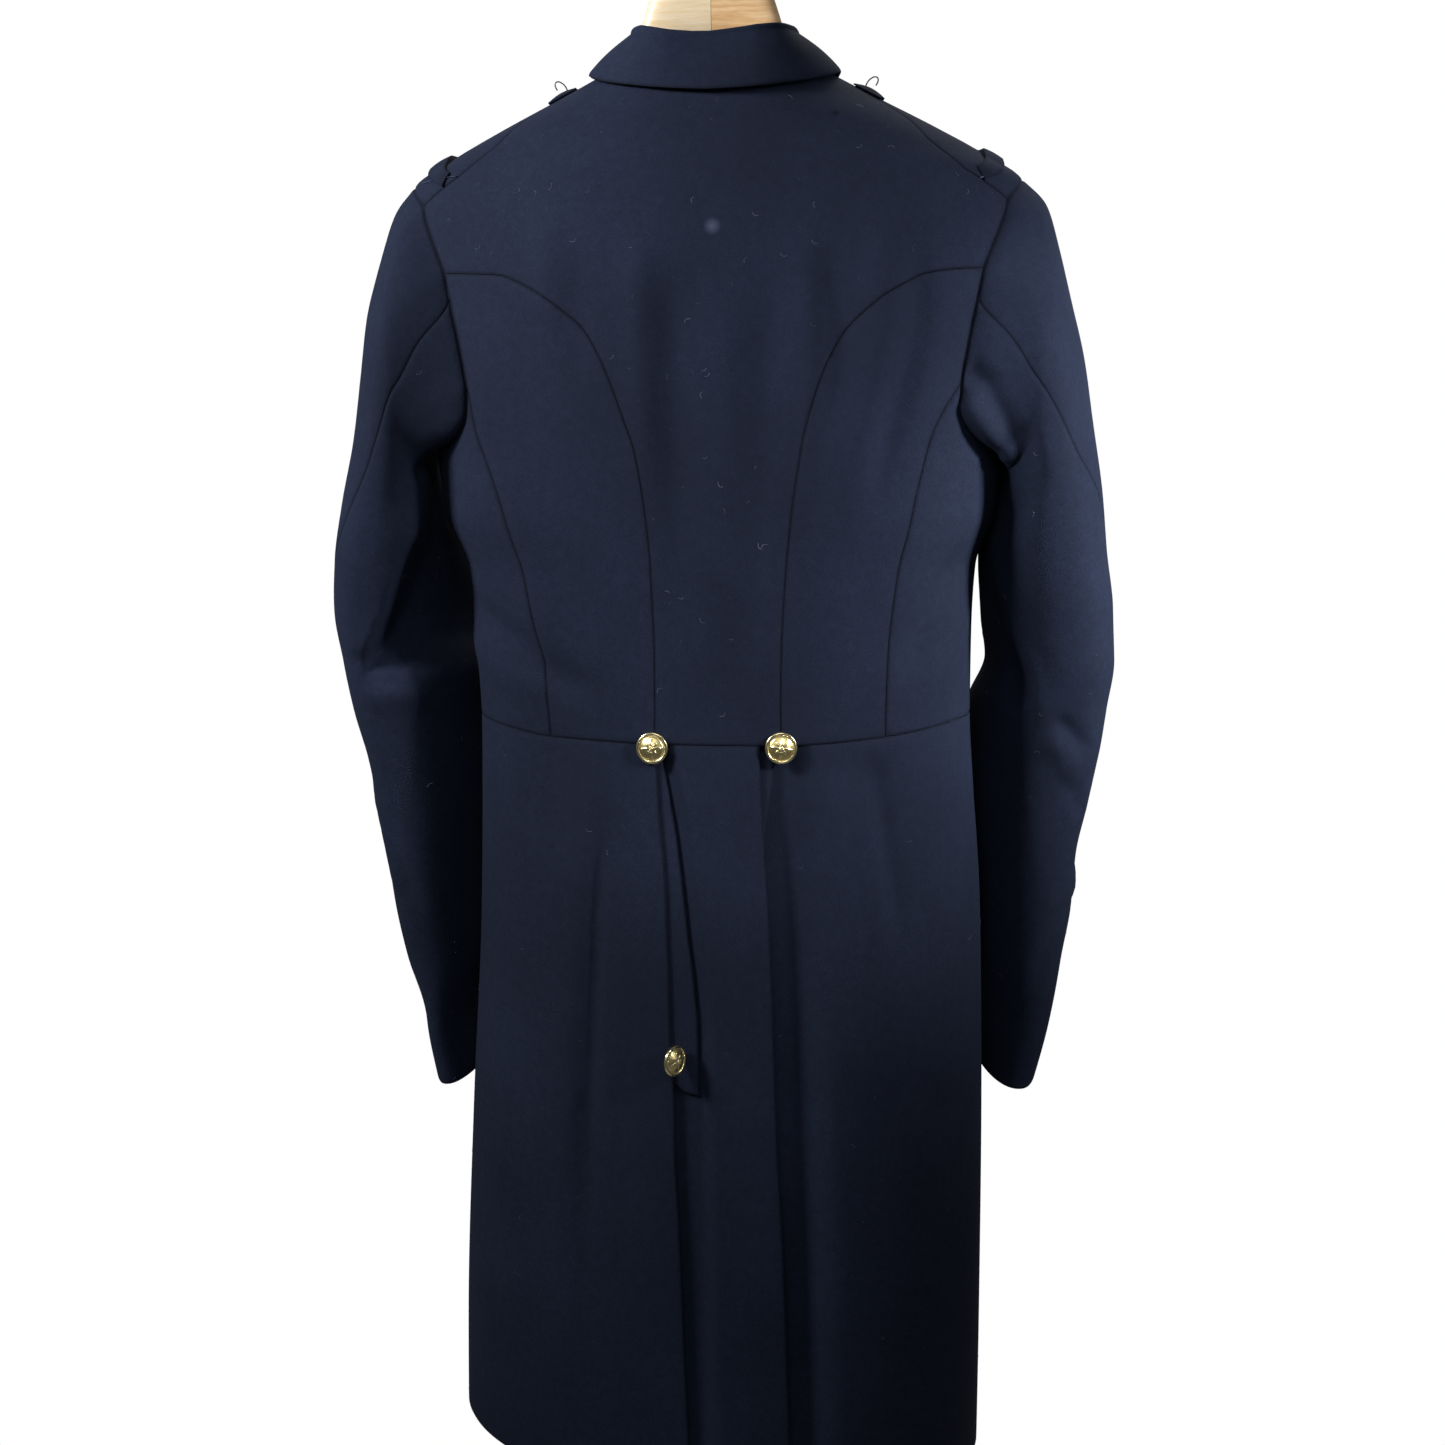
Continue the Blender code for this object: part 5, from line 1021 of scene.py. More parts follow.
def rope_tree():
    """A ring of short slanted strands that read as twisted rope."""
    tree, given = node_group("rope ring", [("Strands", "NodeSocketInt"),
                                           ("Radius", "NodeSocketFloat"),
                                           ("Thickness", "NodeSocketFloat")])
    circle = add(tree, "GeometryNodeCurvePrimitiveCircle",
                 {"Resolution": 96, "Radius": given["Radius"]})
    spots = add(tree, "GeometryNodeCurveToPoints", {"Curve": circle.outputs["Curve"],
                                                    "Count": given["Strands"]}, mode="COUNT")
    strand = add(tree, "GeometryNodeMeshUVSphere", {"Segments": 8, "Rings": 5,
                                                    "Radius": given["Thickness"]})
    slim = add(tree, "GeometryNodeTransform", {"Geometry": strand.outputs["Mesh"],
                                               "Scale": (0.75, 0.75, 1.9)})
    lean = add(tree, "FunctionNodeRotateRotation", {"Rotation": spots.outputs["Rotation"],
                                                    "Rotate By": (0.0, math.radians(38), 0.0)},
               rotation_space="LOCAL")
    ring = add(tree, "GeometryNodeInstanceOnPoints", {"Points": spots.outputs["Points"],
                                                      "Instance": slim.outputs["Geometry"],
                                                      "Rotation": lean.outputs["Rotation"]})
    real = add(tree, "GeometryNodeRealizeInstances", {"Geometry": ring.outputs["Instances"]})
    done = add(tree, "GeometryNodeSetMaterial", {"Geometry": real.outputs["Geometry"],
                                                 "Material": gilt})
    add(tree, "NodeGroupOutput", {"Geometry": done.outputs["Geometry"]})
    return tree


rope = grown("rope_ring", bpy.data.meshes.new("rope_seed"), rope_tree(),
             {"Strands": ROPE_STRANDS, "Radius": 0.80 * BUTTON_WIDTH / 2, "Thickness": 0.00042})
shell_points, shell_faces, shell_relief = button_shell(96, 34)


def surface_spot(x, z, back_side=True, lift=0.0):
    """Point and normal of the body surface at a given x and height."""
    angles = np.radians(np.linspace(0, 89, 900))
    angles = angles if back_side else math.pi - angles
    near = [level_of(a, z) for a in angles[::30]]
    levels = np.interp(np.arange(900), np.arange(900)[::30], near)
    found = body(angles * (1 if x > 0 else -1), levels)
    best = int(np.argmin(np.abs(found[:, 0] - x)))
    angle = angles[best] * (1 if x > 0 else -1)
    out = body_normal(angle, levels[best])
    return found[best] + out * lift, out


def gilt_button(node, point, outward, spin):
    """One button with its back at a point and its axis outward, turned by spin."""
    mesh = bpy.data.meshes.new(node + "_gilt")
    strands = np.array([v.co for v in rope.vertices]) + np.array((0, 0, 0.455 * BUTTON_HEIGHT))
    count = len(shell_points)
    faces = list(shell_faces) + [tuple(v + count for v in p.vertices) for p in rope.polygons]
    mesh.from_pydata(np.concatenate([shell_points, strands]).tolist(), [], faces)
    mark = mesh.attributes.new("relief", "FLOAT", "POINT")
    mark.data.foreach_set("value", np.concatenate(
        [shell_relief, np.full(len(strands), 0.75)]).astype(np.float32))
    turned = Vector(outward).to_track_quat("Z", "Y").to_matrix().to_4x4()
    mesh.transform(Matrix.Translation(Vector(point) - HOOK_TOP) @ turned
                   @ Matrix.Rotation(math.radians(spin), 4, "Z"))
    mesh.shade_smooth()
    mesh.set_sharp_from_angle(angle=math.radians(55))
    mesh.materials.append(gilt)
    made = bpy.data.objects.new(node + "_gilt", mesh)
    bpy.context.scene.collection.objects.link(made)
    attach(made, "root")
    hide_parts(node)


for name, x, spin in (("left", -0.0440, 4), ("right", 0.0477, -9)):
    gilt_button("waist_button_" + name, *surface_spot(x, -0.0095, lift=0.0009), spin)
gilt_button("flap_button", surface_spot(-0.0300, -0.2330, lift=0.0066)[0], (0.82, -0.57, 0.0), 15)
FRONT_BUTTONS = [(0.078, 0.238), (0.070, 0.168), (0.062, 0.098), (0.054, 0.028)]
for number, (x, z) in enumerate(FRONT_BUTTONS, 1):
    for name, side in SIDES:
        gilt_button(f"front_button_{name}_{number}",
                    *surface_spot(x * side, z, False, 0.5 * LAYER + 0.0006), 11 * number * side)

# Hanger: two contoured arms of beech under a clear satin lacquer, glued in a mitre at the neck.
# The left arm is paler, and the grain runs along each arm and so meets in a point at the mitre.
ARM = np.array([
    (0.00015, 0.5385, 0.00015, 0.4850, -0.030, 0.0105),
    (0.0200, 0.5372, 0.0120, 0.4836, -0.030, 0.0105),
    (0.0335, 0.5305, 0.0225, 0.4795, -0.030, 0.0105),
    (0.0420, 0.5185, 0.0320, 0.4720, -0.030, 0.0105),
    (0.0478, 0.5020, 0.0400, 0.4635, -0.030, 0.0105),
    (0.0530, 0.4850, 0.0480, 0.4550, -0.029, 0.0115),
    (0.0600, 0.4705, 0.0570, 0.4460, -0.027, 0.0130),
    (0.0740, 0.4590, 0.0720, 0.4360, -0.021, 0.0130),
    (0.1120, 0.4408, 0.1080, 0.4160, -0.013, 0.0150),
    (0.1550, 0.4205, 0.1480, 0.3930, -0.009, 0.0190),
    (0.1850, 0.4025, 0.1770, 0.3760, -0.007, 0.0195),
    (0.1985, 0.3895, 0.1940, 0.3690, -0.007, 0.0150),
    (0.2010, 0.3850, 0.1990, 0.3740, -0.008, 0.0080),
])
ARM_ROUNDNESS = 2.6
ARM_RINGS = 110
ARM_SIDES = 40


def lacquered_beech(name, pale, deep, slant):
    material, tree, shader = new_material(name)
    place = add(tree, "ShaderNodeTexCoord").outputs["Object"]
    along = add(tree, "ShaderNodeMapping", {"Vector": place, "Rotation": (0, slant, 0),
                                            "Scale": (22.0, 90.0, 330.0)})
    grain = add(tree, "ShaderNodeTexNoise", {"Vector": along.outputs["Vector"], "Scale": 1.0,
                                             "Detail": 4.0, "Roughness": 0.6})
    flecks = add(tree, "ShaderNodeMapping", {"Vector": place, "Rotation": (0, slant, 0),
                                             "Scale": (160.0, 700.0, 1300.0)})
    rays = add(tree, "ShaderNodeTexNoise", {"Vector": flecks.outputs["Vector"], "Scale": 1.0,
                                            "Detail": 2.0})
    mixed = add(tree, "ShaderNodeMath", {0: rays.outputs["Fac"], 1: 0.35,
                                         2: grain.outputs["Fac"]}, operation="MULTIPLY_ADD")
    tint = add(tree, "ShaderNodeValToRGB", {"Fac": mixed.outputs[0]})
    tint.color_ramp.elements[0].position = 0.45
    tint.color_ramp.elements[0].color = linear(deep)
    tint.color_ramp.elements[1].position = 0.85
    tint.color_ramp.elements[1].color = linear(pale)
    bump = add(tree, "ShaderNodeBump", {"Height": mixed.outputs[0], "Strength": 0.12,
                                        "Distance": 0.0004})
    tree.links.new(tint.outputs["Color"], shader.inputs["Base Color"])
    tree.links.new(bump.outputs["Normal"], shader.inputs["Normal"])
    shader.inputs["Roughness"].default_value = 0.42
    shader.inputs["Coat Weight"].default_value = 0.35
    shader.inputs["Coat Roughness"].default_value = 0.22
    return material


for name, side, pale, deep, slant, slot_name in (
        ("left", -1, "f8e6c8", "e8cb9c", math.radians(38), "wood_pale"),
        ("right", 1, "f3cf9f", "d8a468", math.radians(-38), "wood_warm")):
    turn = np.linspace(0, 2 * math.pi, ARM_SIDES, endpoint=False)
    rings = []
    for row in smooth_rows(ARM, np.linspace(0, len(ARM) - 1, ARM_RINGS)):
        ring = oval(row[0:2], row[2:4], row[4], row[5], ARM_ROUNDNESS, turn)
        ring[:, 0] *= side
        rings.append(ring[::-1] if side < 0 else ring)
    rings = np.array(rings)
    ends = [rings[0].mean(0), rings[-1].mean(0)]
    points = np.concatenate([rings.reshape(-1, 3), ends]) - np.array(HOOK_TOP)
    faces = [tuple(f) for f in grid_faces(ARM_RINGS, ARM_SIDES, True)]
    tip = ARM_RINGS * ARM_SIDES
    last = tip - ARM_SIDES
    for c in range(ARM_SIDES):
        faces += [((c + 1) % ARM_SIDES, c, tip)]
    for c in range(ARM_SIDES):
        faces += [(last + c, last + (c + 1) % ARM_SIDES, tip + 1)]
    mesh = bpy.data.meshes.new("hanger_arm_" + name + "_beech")
    mesh.from_pydata(points.tolist(), [], faces)
    mesh.shade_smooth()
    mesh.set_sharp_from_angle(angle=math.radians(50))
    mesh.materials.append(lacquered_beech("beech, lacquered, " + name, pale, deep, slant))
    arm = bpy.data.objects.new(mesh.name, mesh)
    bpy.context.scene.collection.objects.link(arm)
    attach(arm, "root")
    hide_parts("hanger_arm_" + name)

# Hook: plated steel wire screwed into the mitre, a straight stem and an open bend with a rounded
# tip. The plating is bright with a faint haze of fine scratches.
HOOK_WIRE = 0.0044
HOOK_BEND = 0.0220


def round_wire(name, points, radius, material, node, sides=6, steps=8):
    """Round wire along a smooth path with closed ends, as a mesh."""
    data = bpy.data.curves.new(name, "CURVE")
    data.dimensions = "3D"
    data.bevel_depth = radius
    data.bevel_resolution = sides
    data.use_fill_caps = True
    data.resolution_u = steps
    path = data.splines.new("BEZIER")
    path.bezier_points.add(len(points) - 1)
    for spot, point in zip(path.bezier_points, points):
        spot.co = Vector(point) - HOOK_TOP
        spot.handle_left_type = spot.handle_right_type = "AUTO"
    holder = bpy.data.objects.new(name + "_path", data)
    bpy.context.scene.collection.objects.link(holder)
    mesh = bpy.data.meshes.new_from_object(
        holder.evaluated_get(bpy.context.evaluated_depsgraph_get()))
    bpy.data.objects.remove(holder)
    mesh.name = name
    mesh.materials.clear()
    mesh.materials.append(material)
    mesh.shade_smooth()
    mesh.set_sharp_from_angle(angle=math.radians(50))
    made = bpy.data.objects.new(name, mesh)
    bpy.context.scene.collection.objects.link(made)
    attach(made, "root")
    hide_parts(node)


def plated_steel(name, colour, roughness):
    material, tree, shader = new_material(name)
    place = add(tree, "ShaderNodeTexCoord").outputs["Object"]
    streak = add(tree, "ShaderNodeTexNoise", {"Vector": place, "Scale": 700.0, "Detail": 3.0})
    rough = add(tree, "ShaderNodeMapRange", {"Value": streak.outputs["Fac"],
                                             "To Min": roughness * 0.7, "To Max": roughness * 1.4})
    tint = add(tree, "ShaderNodeMix", {"Factor": streak.outputs["Fac"]}, data_type="RGBA")
    tint.inputs[6].default_value = linear(colour)
    tint.inputs[7].default_value = [0.82 * c for c in linear(colour)[:3]] + [1]
    tree.links.new(tint.outputs[2], shader.inputs["Base Color"])
    tree.links.new(rough.outputs["Result"], shader.inputs["Roughness"])
    shader.inputs["Metallic"].default_value = 1.0
    return material


bend = HOOK_BEND + HOOK_WIRE / 2
centre_z = HOOK_TOP.z - HOOK_BEND
hook_path = [(0, -0.030, 0.5390), (0, -0.030, 0.5480), (0.0012, -0.030, 0.5580),
             (0.0085, -0.030, 0.5680)]
for degrees in range(-40, 216, 17):
    turn = math.radians(degrees)
    hook_path.append((bend * math.cos(turn), -0.030, centre_z + bend * math.sin(turn)))
round_wire("hook_steel", hook_path, HOOK_WIRE / 2, plated_steel("steel, plated", "c9ccd0", 0.22),
           "hook")

# Shoulder fittings for epaulettes: near the neck a small cloth pad with a dark wire eye, and at
# the shoulder's end a flat cloth keeper, arched over the ridge and sewn down at both ends.
KEEPER = [(75.0, 13.02), (81.0, 13.45), (87.0, 13.82), (93.0, 13.88)]
EYE_WIRE = 0.0010


def onlay(node, spine, half_width, height, cells, gap):
    """A small raised piece along a spine of (degrees, ring number) on the body surface."""
    spine = smooth_rows(np.array(spine, float), np.linspace(0, len(spine) - 1, cells[0] + 1))
    angle = np.broadcast_to(np.radians(spine[:, 0:1]), (cells[0] + 1, cells[1] + 1))
    level = spine[:, 1:2] + half_width * np.linspace(-1, 1, cells[1] + 1)[None, :]
    points, normals = body(angle, level), body_normal(angle, level)
    across = np.linspace(-1, 1, cells[0] + 1)[:, None]
    along = np.linspace(-1, 1, cells[1] + 1)[None, :]
    lift = height(across, along)
    low = (points + normals * gap).reshape(-1, 3)
    high = (points + normals * (gap + lift[..., None])).reshape(-1, 3)
    rows, columns = cells[0] + 1, cells[1] + 1
    count = rows * columns
    faces = [tuple(f) for f in grid_faces(rows, columns)]
    rim = ([(0, c) for c in range(columns - 1)] + [(r, columns - 1) for r in range(rows - 1)]
           + [(rows - 1, c) for c in range(columns - 1, 0, -1)]
           + [(r, 0) for r in range(rows - 1, 0, -1)])
    ring = [r * columns + c for r, c in rim]
    solid = [f[::-1] for f in faces] + [tuple(v + count for v in f) for f in faces]
    solid += [(a, b, b + count, a + count) for a, b in zip(ring, ring[1:] + ring[:1])]
    mesh = bpy.data.meshes.new(node + "_cloth")
    joined = np.concatenate([low, high]) - np.array(HOOK_TOP)
    mesh.from_pydata(joined.tolist(), [], solid)
    volume = sum(np.dot(joined[f[0]], np.cross(joined[f[k]], joined[f[k + 1]]))
                 for f in solid for k in range(1, len(f) - 1))
    if volume < 0:
        mesh.flip_normals()
    edge = np.minimum(1 - np.abs(across), 1 - np.abs(along)) * 0.006
    mark = mesh.attributes.new("edge", "FLOAT", "POINT")
    mark.data.foreach_set("value", np.tile(edge.ravel(), 2).astype(np.float32))
    corners = np.empty(len(mesh.loops), np.int32)
    mesh.loops.foreach_get("vertex_index", corners)
    flat = np.stack([0.01 * across + 0 * along, 0.01 * along + 0 * across], -1).reshape(-1, 2)
    layer = mesh.uv_layers.new(name="cloth")
    layer.data.foreach_set("uv", flat[corners % count].astype(np.float32).ravel())
    mesh.shade_smooth()
    mesh.set_sharp_from_angle(angle=math.radians(50))
    mesh.materials.append(wool)
    made = bpy.data.objects.new(mesh.name, mesh)
    bpy.context.scene.collection.objects.link(made)
    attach(made, "root")
    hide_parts(node)


def pad_height(across, along):
    return 0.0010 + 0.0022 * (1 - across ** 2) * (1 - along ** 2)


def keeper_height(across, along):
    arch = np.clip(1 - (np.abs(across - 0.35) / 0.55) ** 2, 0, 1)
    return 0.0012 + 0.0026 * arch * (1 - 0.3 * along ** 2)


wire_metal = plated_steel("steel wire, dark", "5a5854", 0.38)
for name, side in SIDES:
    onlay("shoulder_pad_" + name, [(82 * side, 16.05), (100 * side, 16.05)], 0.25, pad_height,
          (18, 24), 0.0009)
    point = body(side * math.radians(91.0), 16.08)
    normal = body_normal(side * math.radians(91.0), 16.08)
    base = point + normal * 0.0051
    eye = [base + np.array((side * dx, 0, 0)) + normal * up for dx, up in (
        (-0.0036, 0.0004), (-0.0036, 0.0036), (-0.0022, 0.0064), (0, 0.0074), (0.0022, 0.0064),
        (0.0036, 0.0036), (0.0036, 0.0004))]
    round_wire("wire_eye_" + name + "_steel", eye, EYE_WIRE / 2, wire_metal,
               "wire_eye_" + name, sides=3, steps=6)
    onlay("shoulder_keeper_" + name, [(a * side, ring) for a, ring in KEEPER], 0.21,
          keeper_height, (30, 14), 0.0005)

# Stitches: silk twist worked by hand as a close row of short bars. They bind the slot beside each
# keeper, and Geometry Nodes lay them along the slot's line on the cloth.
STITCH_LENGTH = 0.0022
STITCH_SPACING = 0.0010
THREAD_RADIUS = 0.00035
SLOTS = {
    "left": [(-73.0, 0.3936), (-75.5, 0.3926), (-78.5, 0.3910), (-82.0, 0.3893)],
    "right": [(77.0, 0.3920), (76.0, 0.3905), (75.2, 0.3890), (74.4, 0.3876)],
}


def silk_twist():
    material, tree, shader = new_material("silk twist, navy")
    place = add(tree, "ShaderNodeTexCoord").outputs["Object"]
    ply = add(tree, "ShaderNodeTexNoise", {"Vector": place, "Scale": 1500.0, "Detail": 1.0})
    tint = add(tree, "ShaderNodeMix", {"Factor": ply.outputs["Fac"]}, data_type="RGBA")
    tint.inputs[6].default_value = linear("1c2338")
    tint.inputs[7].default_value = linear("5f6a8c")
    tree.links.new(tint.outputs[2], shader.inputs["Base Color"])
    shader.inputs["Roughness"].default_value = 0.48
    return material


silk = silk_twist()


def stitch_tree():
    """Short bars of thread set across a line of edges, a little uneven."""
    tree, given = node_group("stitch row", [("Spacing", "NodeSocketFloat"),
                                            ("Length", "NodeSocketFloat"),
                                            ("Thickness", "NodeSocketFloat"),
                                            ("Seed", "NodeSocketInt")])
    line = add(tree, "GeometryNodeMeshToCurve", {"Mesh": given["Geometry"]})
    spots = add(tree, "GeometryNodeCurveToPoints", {"Curve": line.outputs["Curve"],
                                                    "Length": given["Spacing"]}, mode="LENGTH")
    bar = add(tree, "GeometryNodeMeshUVSphere", {"Segments": 6, "Rings": 6,
                                                 "Radius": given["Thickness"]})
    lengthen = add(tree, "ShaderNodeMath", {0: given["Length"], 1: given["Thickness"]},
                   operation="DIVIDE")
    half = add(tree, "ShaderNodeMath", {0: lengthen.outputs[0], 1: 0.5}, operation="MULTIPLY")
    size = add(tree, "ShaderNodeCombineXYZ", {"X": half.outputs[0], "Y": 1.0, "Z": 1.0})
    thread = add(tree, "GeometryNodeTransform", {"Geometry": bar.outputs["Mesh"],
                                                 "Scale": size.outputs["Vector"]})
    jitter = add(tree, "FunctionNodeRandomValue", {2: 0.8, 3: 1.15, "Seed": given["Seed"]},
                 data_type="FLOAT")
    row = add(tree, "GeometryNodeInstanceOnPoints", {"Points": spots.outputs["Points"],
                                                     "Instance": thread.outputs["Geometry"],
                                                     "Rotation": spots.outputs["Rotation"],
                                                     "Scale": jitter.outputs[1]})
    real = add(tree, "GeometryNodeRealizeInstances", {"Geometry": row.outputs["Instances"]})
    done = add(tree, "GeometryNodeSetMaterial", {"Geometry": real.outputs["Geometry"],
                                                 "Material": silk})
    add(tree, "NodeGroupOutput", {"Geometry": done.outputs["Geometry"]})
    return tree


stitches = stitch_tree()


def stitch_row(name, points, seed):
    """Stitches along a line of points, as one piece."""
    seed_mesh = bpy.data.meshes.new(name + "_line")
    seed_mesh.from_pydata([tuple(np.array(p) - np.array(HOOK_TOP)) for p in points],
                          [(k, k + 1) for k in range(len(points) - 1)], [])
    mesh = grown(name, seed_mesh, stitches, {"Spacing": STITCH_SPACING, "Length": STITCH_LENGTH,
                                             "Thickness": THREAD_RADIUS, "Seed": seed})
    mesh.shade_smooth()
    made = bpy.data.objects.new(name, mesh)
    bpy.context.scene.collection.objects.link(made)
    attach(made, "root")


for number, (name, line) in enumerate(SLOTS.items()):
    path = smooth_rows(np.array(line, float), np.linspace(0, len(line) - 1, 24))
    angle = np.radians(path[:, 0])
    level = np.array([level_of(a, z) for a, z in zip(angle, path[:, 1])])
    spots = body(angle, level) + body_normal(angle, level) * 0.0003
    stitch_row("keeper_slot_stitches_" + name, spots, 5 + number)

# Lint: pale fibres that cling to the nap, most of them on the upper back, where dust falls. Each
# is a hair a few millimetres long, drawn a little thicker than a real one so that it shows.
HAIR_LENGTH = 0.0055
HAIR_RADIUS = 0.00011
LINT = [(back, 1500.0, 3), (skirt_left, 260.0, 4), (skirt_right, 260.0, 5),
        (bpy.data.objects["under_sleeve_left_cloth"], 420.0, 6),
        (bpy.data.objects["under_sleeve_right_cloth"], 420.0, 7)]


def pale_fibre():
    material, tree, shader = new_material("cotton lint, pale")
    place = add(tree, "ShaderNodeTexCoord").outputs["Object"]
    vary = add(tree, "ShaderNodeTexNoise", {"Vector": place, "Scale": 120.0, "Detail": 1.0})
    tint = add(tree, "ShaderNodeValToRGB", {"Fac": vary.outputs["Fac"]})
    tint.color_ramp.elements[0].position = 0.35
    tint.color_ramp.elements[0].color = linear("3c4356")
    tint.color_ramp.elements[1].position = 0.68
    tint.color_ramp.elements[1].color = linear("8d93a3")
    tree.links.new(tint.outputs["Color"], shader.inputs["Base Color"])
    shader.inputs["Roughness"].default_value = 0.8
    return material


lint_fibre = pale_fibre()


def lint_tree():
    """Short curved hairs scattered over a cloth's face."""
    tree, given = node_group("lint", [("Density", "NodeSocketFloat"), ("Seed", "NodeSocketInt"),
                                      ("Length", "NodeSocketFloat"),
                                      ("Thickness", "NodeSocketFloat")])
    spots = add(tree, "GeometryNodeDistributePointsOnFaces",
                {"Mesh": given["Geometry"], "Density": given["Density"], "Seed": given["Seed"]})
    hair = add(tree, "GeometryNodeCurveQuadraticBezier",
               {"Resolution": 5, "Start": (-0.5, 0.0, 0.03), "Middle": (0.05, 0.55, 0.06),
                "End": (0.5, -0.1, 0.04)})
    size = add(tree, "ShaderNodeCombineXYZ", {"X": given["Length"], "Y": given["Length"],
                                              "Z": given["Length"]})
    long_hair = add(tree, "GeometryNodeTransform", {"Geometry": hair.outputs["Curve"],
                                                    "Scale": size.outputs["Vector"]})
    section = add(tree, "GeometryNodeCurvePrimitiveCircle", {"Resolution": 3,
                                                             "Radius": given["Thickness"]})
    solid = add(tree, "GeometryNodeCurveToMesh", {"Curve": long_hair.outputs["Geometry"],
                                                  "Profile Curve": section.outputs["Curve"]})
    spin = add(tree, "FunctionNodeRandomValue", {0: (0.0, 0.0, 0.0), 1: (0.0, 0.0, 6.283),
                                                 "Seed": given["Seed"]},
               data_type="FLOAT_VECTOR")
    turned = add(tree, "FunctionNodeRotateRotation", {"Rotation": spots.outputs["Rotation"],
                                                      "Rotate By": spin.outputs[0]},
                 rotation_space="LOCAL")
    vary = add(tree, "FunctionNodeRandomValue", {2: 0.25, 3: 1.0, "Seed": given["Seed"]},
               data_type="FLOAT")
    long_few = add(tree, "ShaderNodeMath", {0: vary.outputs[1], 1: 2.2}, operation="POWER")
    hairs = add(tree, "GeometryNodeInstanceOnPoints", {"Points": spots.outputs["Points"],
                                                       "Instance": solid.outputs["Mesh"],
                                                       "Rotation": turned.outputs["Rotation"],
                                                       "Scale": long_few.outputs[0]})
    real = add(tree, "GeometryNodeRealizeInstances", {"Geometry": hairs.outputs["Instances"]})
    done = add(tree, "GeometryNodeSetMaterial", {"Geometry": real.outputs["Geometry"],
                                                 "Material": lint_fibre})
    add(tree, "NodeGroupOutput", {"Geometry": done.outputs["Geometry"]})
    return tree


lint = lint_tree()
for cloth, density, seed in LINT:
    outer = bpy.data.meshes.new(cloth.name + "_outer")
    half = len(cloth.data.vertices) // 2
    keep = [tuple(p.vertices) for p in cloth.data.polygons if max(p.vertices) < half]
    outer.from_pydata([tuple(v.co) for v in cloth.data.vertices], [], keep)
    mesh = grown("lint_on_" + cloth.name, outer, lint,
                 {"Density": density, "Seed": seed, "Length": HAIR_LENGTH,
                  "Thickness": HAIR_RADIUS})
    made = bpy.data.objects.new(mesh.name, mesh)
    bpy.context.scene.collection.objects.link(made)
    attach(made, "root")

# Stage: a pale floor under a white studio. Two softboxes close to the shoulders, high on the left
# and on the right, light the back, so the skirts darken towards the hem; a weak one fills from
# behind the camera, and one above the view lights the front.
FLOOR_Z = -1.75
FLOOR_RADIUS = 1.1
FLOOR_SIDES = 64
floor_paint, tree, shader = new_material("floor, matt white")
place = add(tree, "ShaderNodeTexCoord").outputs["Object"]
speck = add(tree, "ShaderNodeTexNoise", {"Vector": place, "Scale": 3.0})
tint = add(tree, "ShaderNodeMapRange", {"Value": speck.outputs["Fac"], "To Min": 0.86,
                                        "To Max": 0.90})
tree.links.new(tint.outputs["Result"], shader.inputs["Base Color"])
shader.inputs["Roughness"].default_value = 0.9
turn = np.linspace(0, 2 * math.pi, FLOOR_SIDES, endpoint=False)
points = [(0, 0, FLOOR_Z)]
points += [(FLOOR_RADIUS * math.cos(t), FLOOR_RADIUS * math.sin(t), FLOOR_Z) for t in turn]
mesh = bpy.data.meshes.new("floor")
mesh.from_pydata(points, [], [(0, 1 + c, 1 + (c + 1) % FLOOR_SIDES) for c in range(FLOOR_SIDES)])
mesh.materials.append(floor_paint)
floor = bpy.data.objects.new("floor", mesh)
bpy.context.scene.collection.objects.link(floor)

world = bpy.data.worlds.new("white studio")
bpy.context.scene.world = world
world.use_nodes = True
tree = world.node_tree
seen = add(tree, "ShaderNodeLightPath").outputs["Is Camera Ray"]
strength = add(tree, "ShaderNodeMapRange", {"Value": seen, "To Min": 0.075, "To Max": 1.0})
tree.nodes["Background"].inputs["Color"].default_value = (1, 1, 1, 1)
tree.links.new(strength.outputs["Result"], tree.nodes["Background"].inputs["Strength"])
bpy.context.scene.view_settings.view_transform = "Standard"


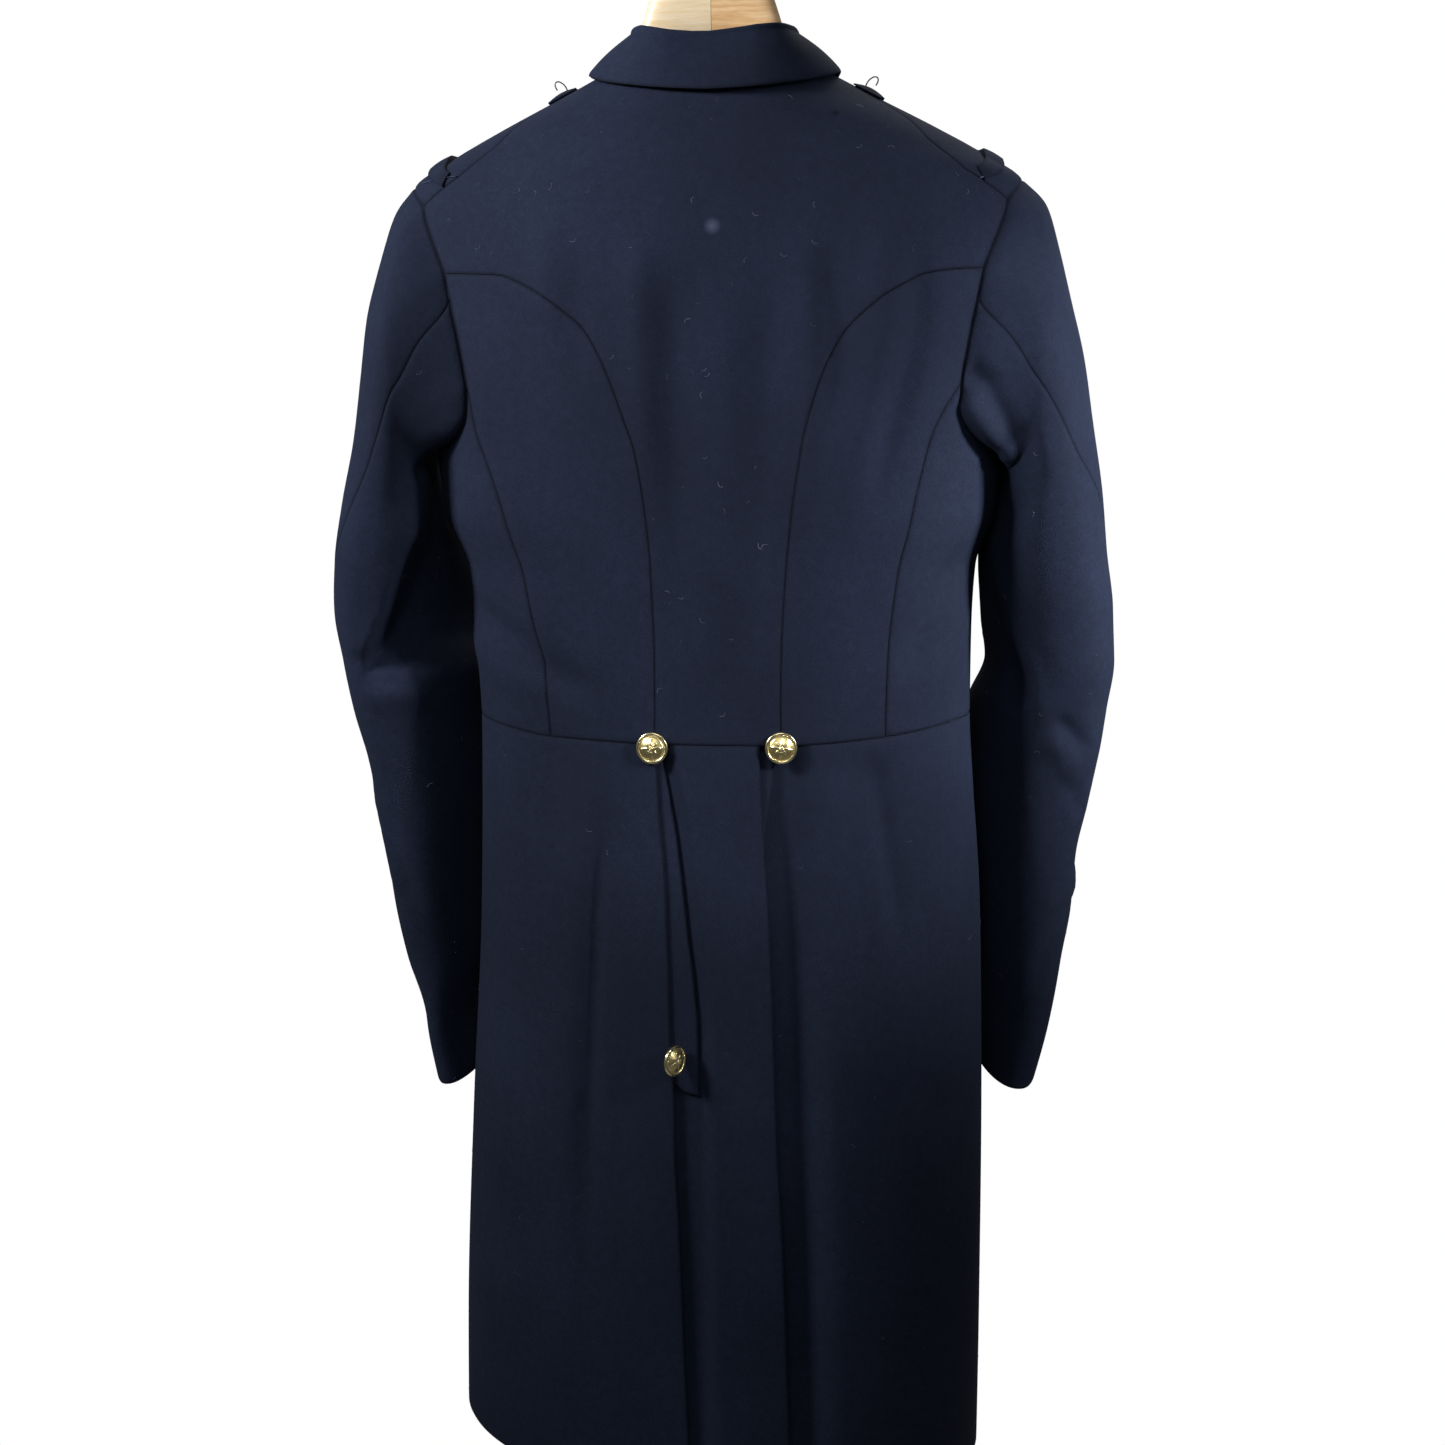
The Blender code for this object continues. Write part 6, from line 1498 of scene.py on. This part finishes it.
def soft_light(name, place, target, size, power, spread=180):
    """A square softbox, with its place and target measured from the waist seam."""
    data = bpy.data.lights.new(name, "AREA")
    data.size = size
    data.energy = power
    data.spread = math.radians(spread)
    light = bpy.data.objects.new(name, data)
    light.location = Vector(place) - HOOK_TOP
    light.rotation_euler = (Vector(target) - Vector(place)).to_track_quat("-Z", "Y").to_euler()
    bpy.context.scene.collection.objects.link(light)


soft_light("key, left", (-1.35, -0.80, 1.00), (-0.22, -0.05, 0.38), 0.40, 5.0, 62)
soft_light("key, right", (1.50, -0.75, 0.75), (0.38, -0.05, 0.20), 0.30, 1.6, 24)
soft_light("fill", (0.00, -2.10, 1.60), (0.00, -0.05, 0.10), 1.00, 4.6, 120)
soft_light("front wash", (0.60, 2.00, 2.00), (0.00, 0.00, 0.10), 1.20, 22.0)

# Camera: 70 mm lens, a little above the waist and turned 4 degrees, as the coat was seen.
CAMERA_PITCH, CAMERA_YAW, CAMERA_ROLL = math.radians(10), math.radians(4), math.radians(0.7)
CAMERA_DISTANCE = 2.05
AIM = Vector((0.0027, -0.0500, 0.0)) - HOOK_TOP
forward = Vector((-math.sin(CAMERA_YAW) * math.cos(CAMERA_PITCH),
                  math.cos(CAMERA_YAW) * math.cos(CAMERA_PITCH), -math.sin(CAMERA_PITCH)))
level_right = Vector((math.cos(CAMERA_YAW), math.sin(CAMERA_YAW), 0.0))
level_up = level_right.cross(forward)
right = level_right * math.cos(CAMERA_ROLL) - level_up * math.sin(CAMERA_ROLL)
up = level_right * math.sin(CAMERA_ROLL) + level_up * math.cos(CAMERA_ROLL)
lens = bpy.data.cameras.new("photo view")
lens.lens = 70
lens.sensor_width = 36
lens.clip_end = 60
camera = bpy.data.objects.new("photo view", lens)
spot = AIM - forward * CAMERA_DISTANCE
camera.matrix_world = Matrix([(right.x, up.x, -forward.x, spot.x),
                              (right.y, up.y, -forward.y, spot.y),
                              (right.z, up.z, -forward.z, spot.z), (0, 0, 0, 1)])
bpy.context.scene.collection.objects.link(camera)
bpy.context.scene.camera = camera
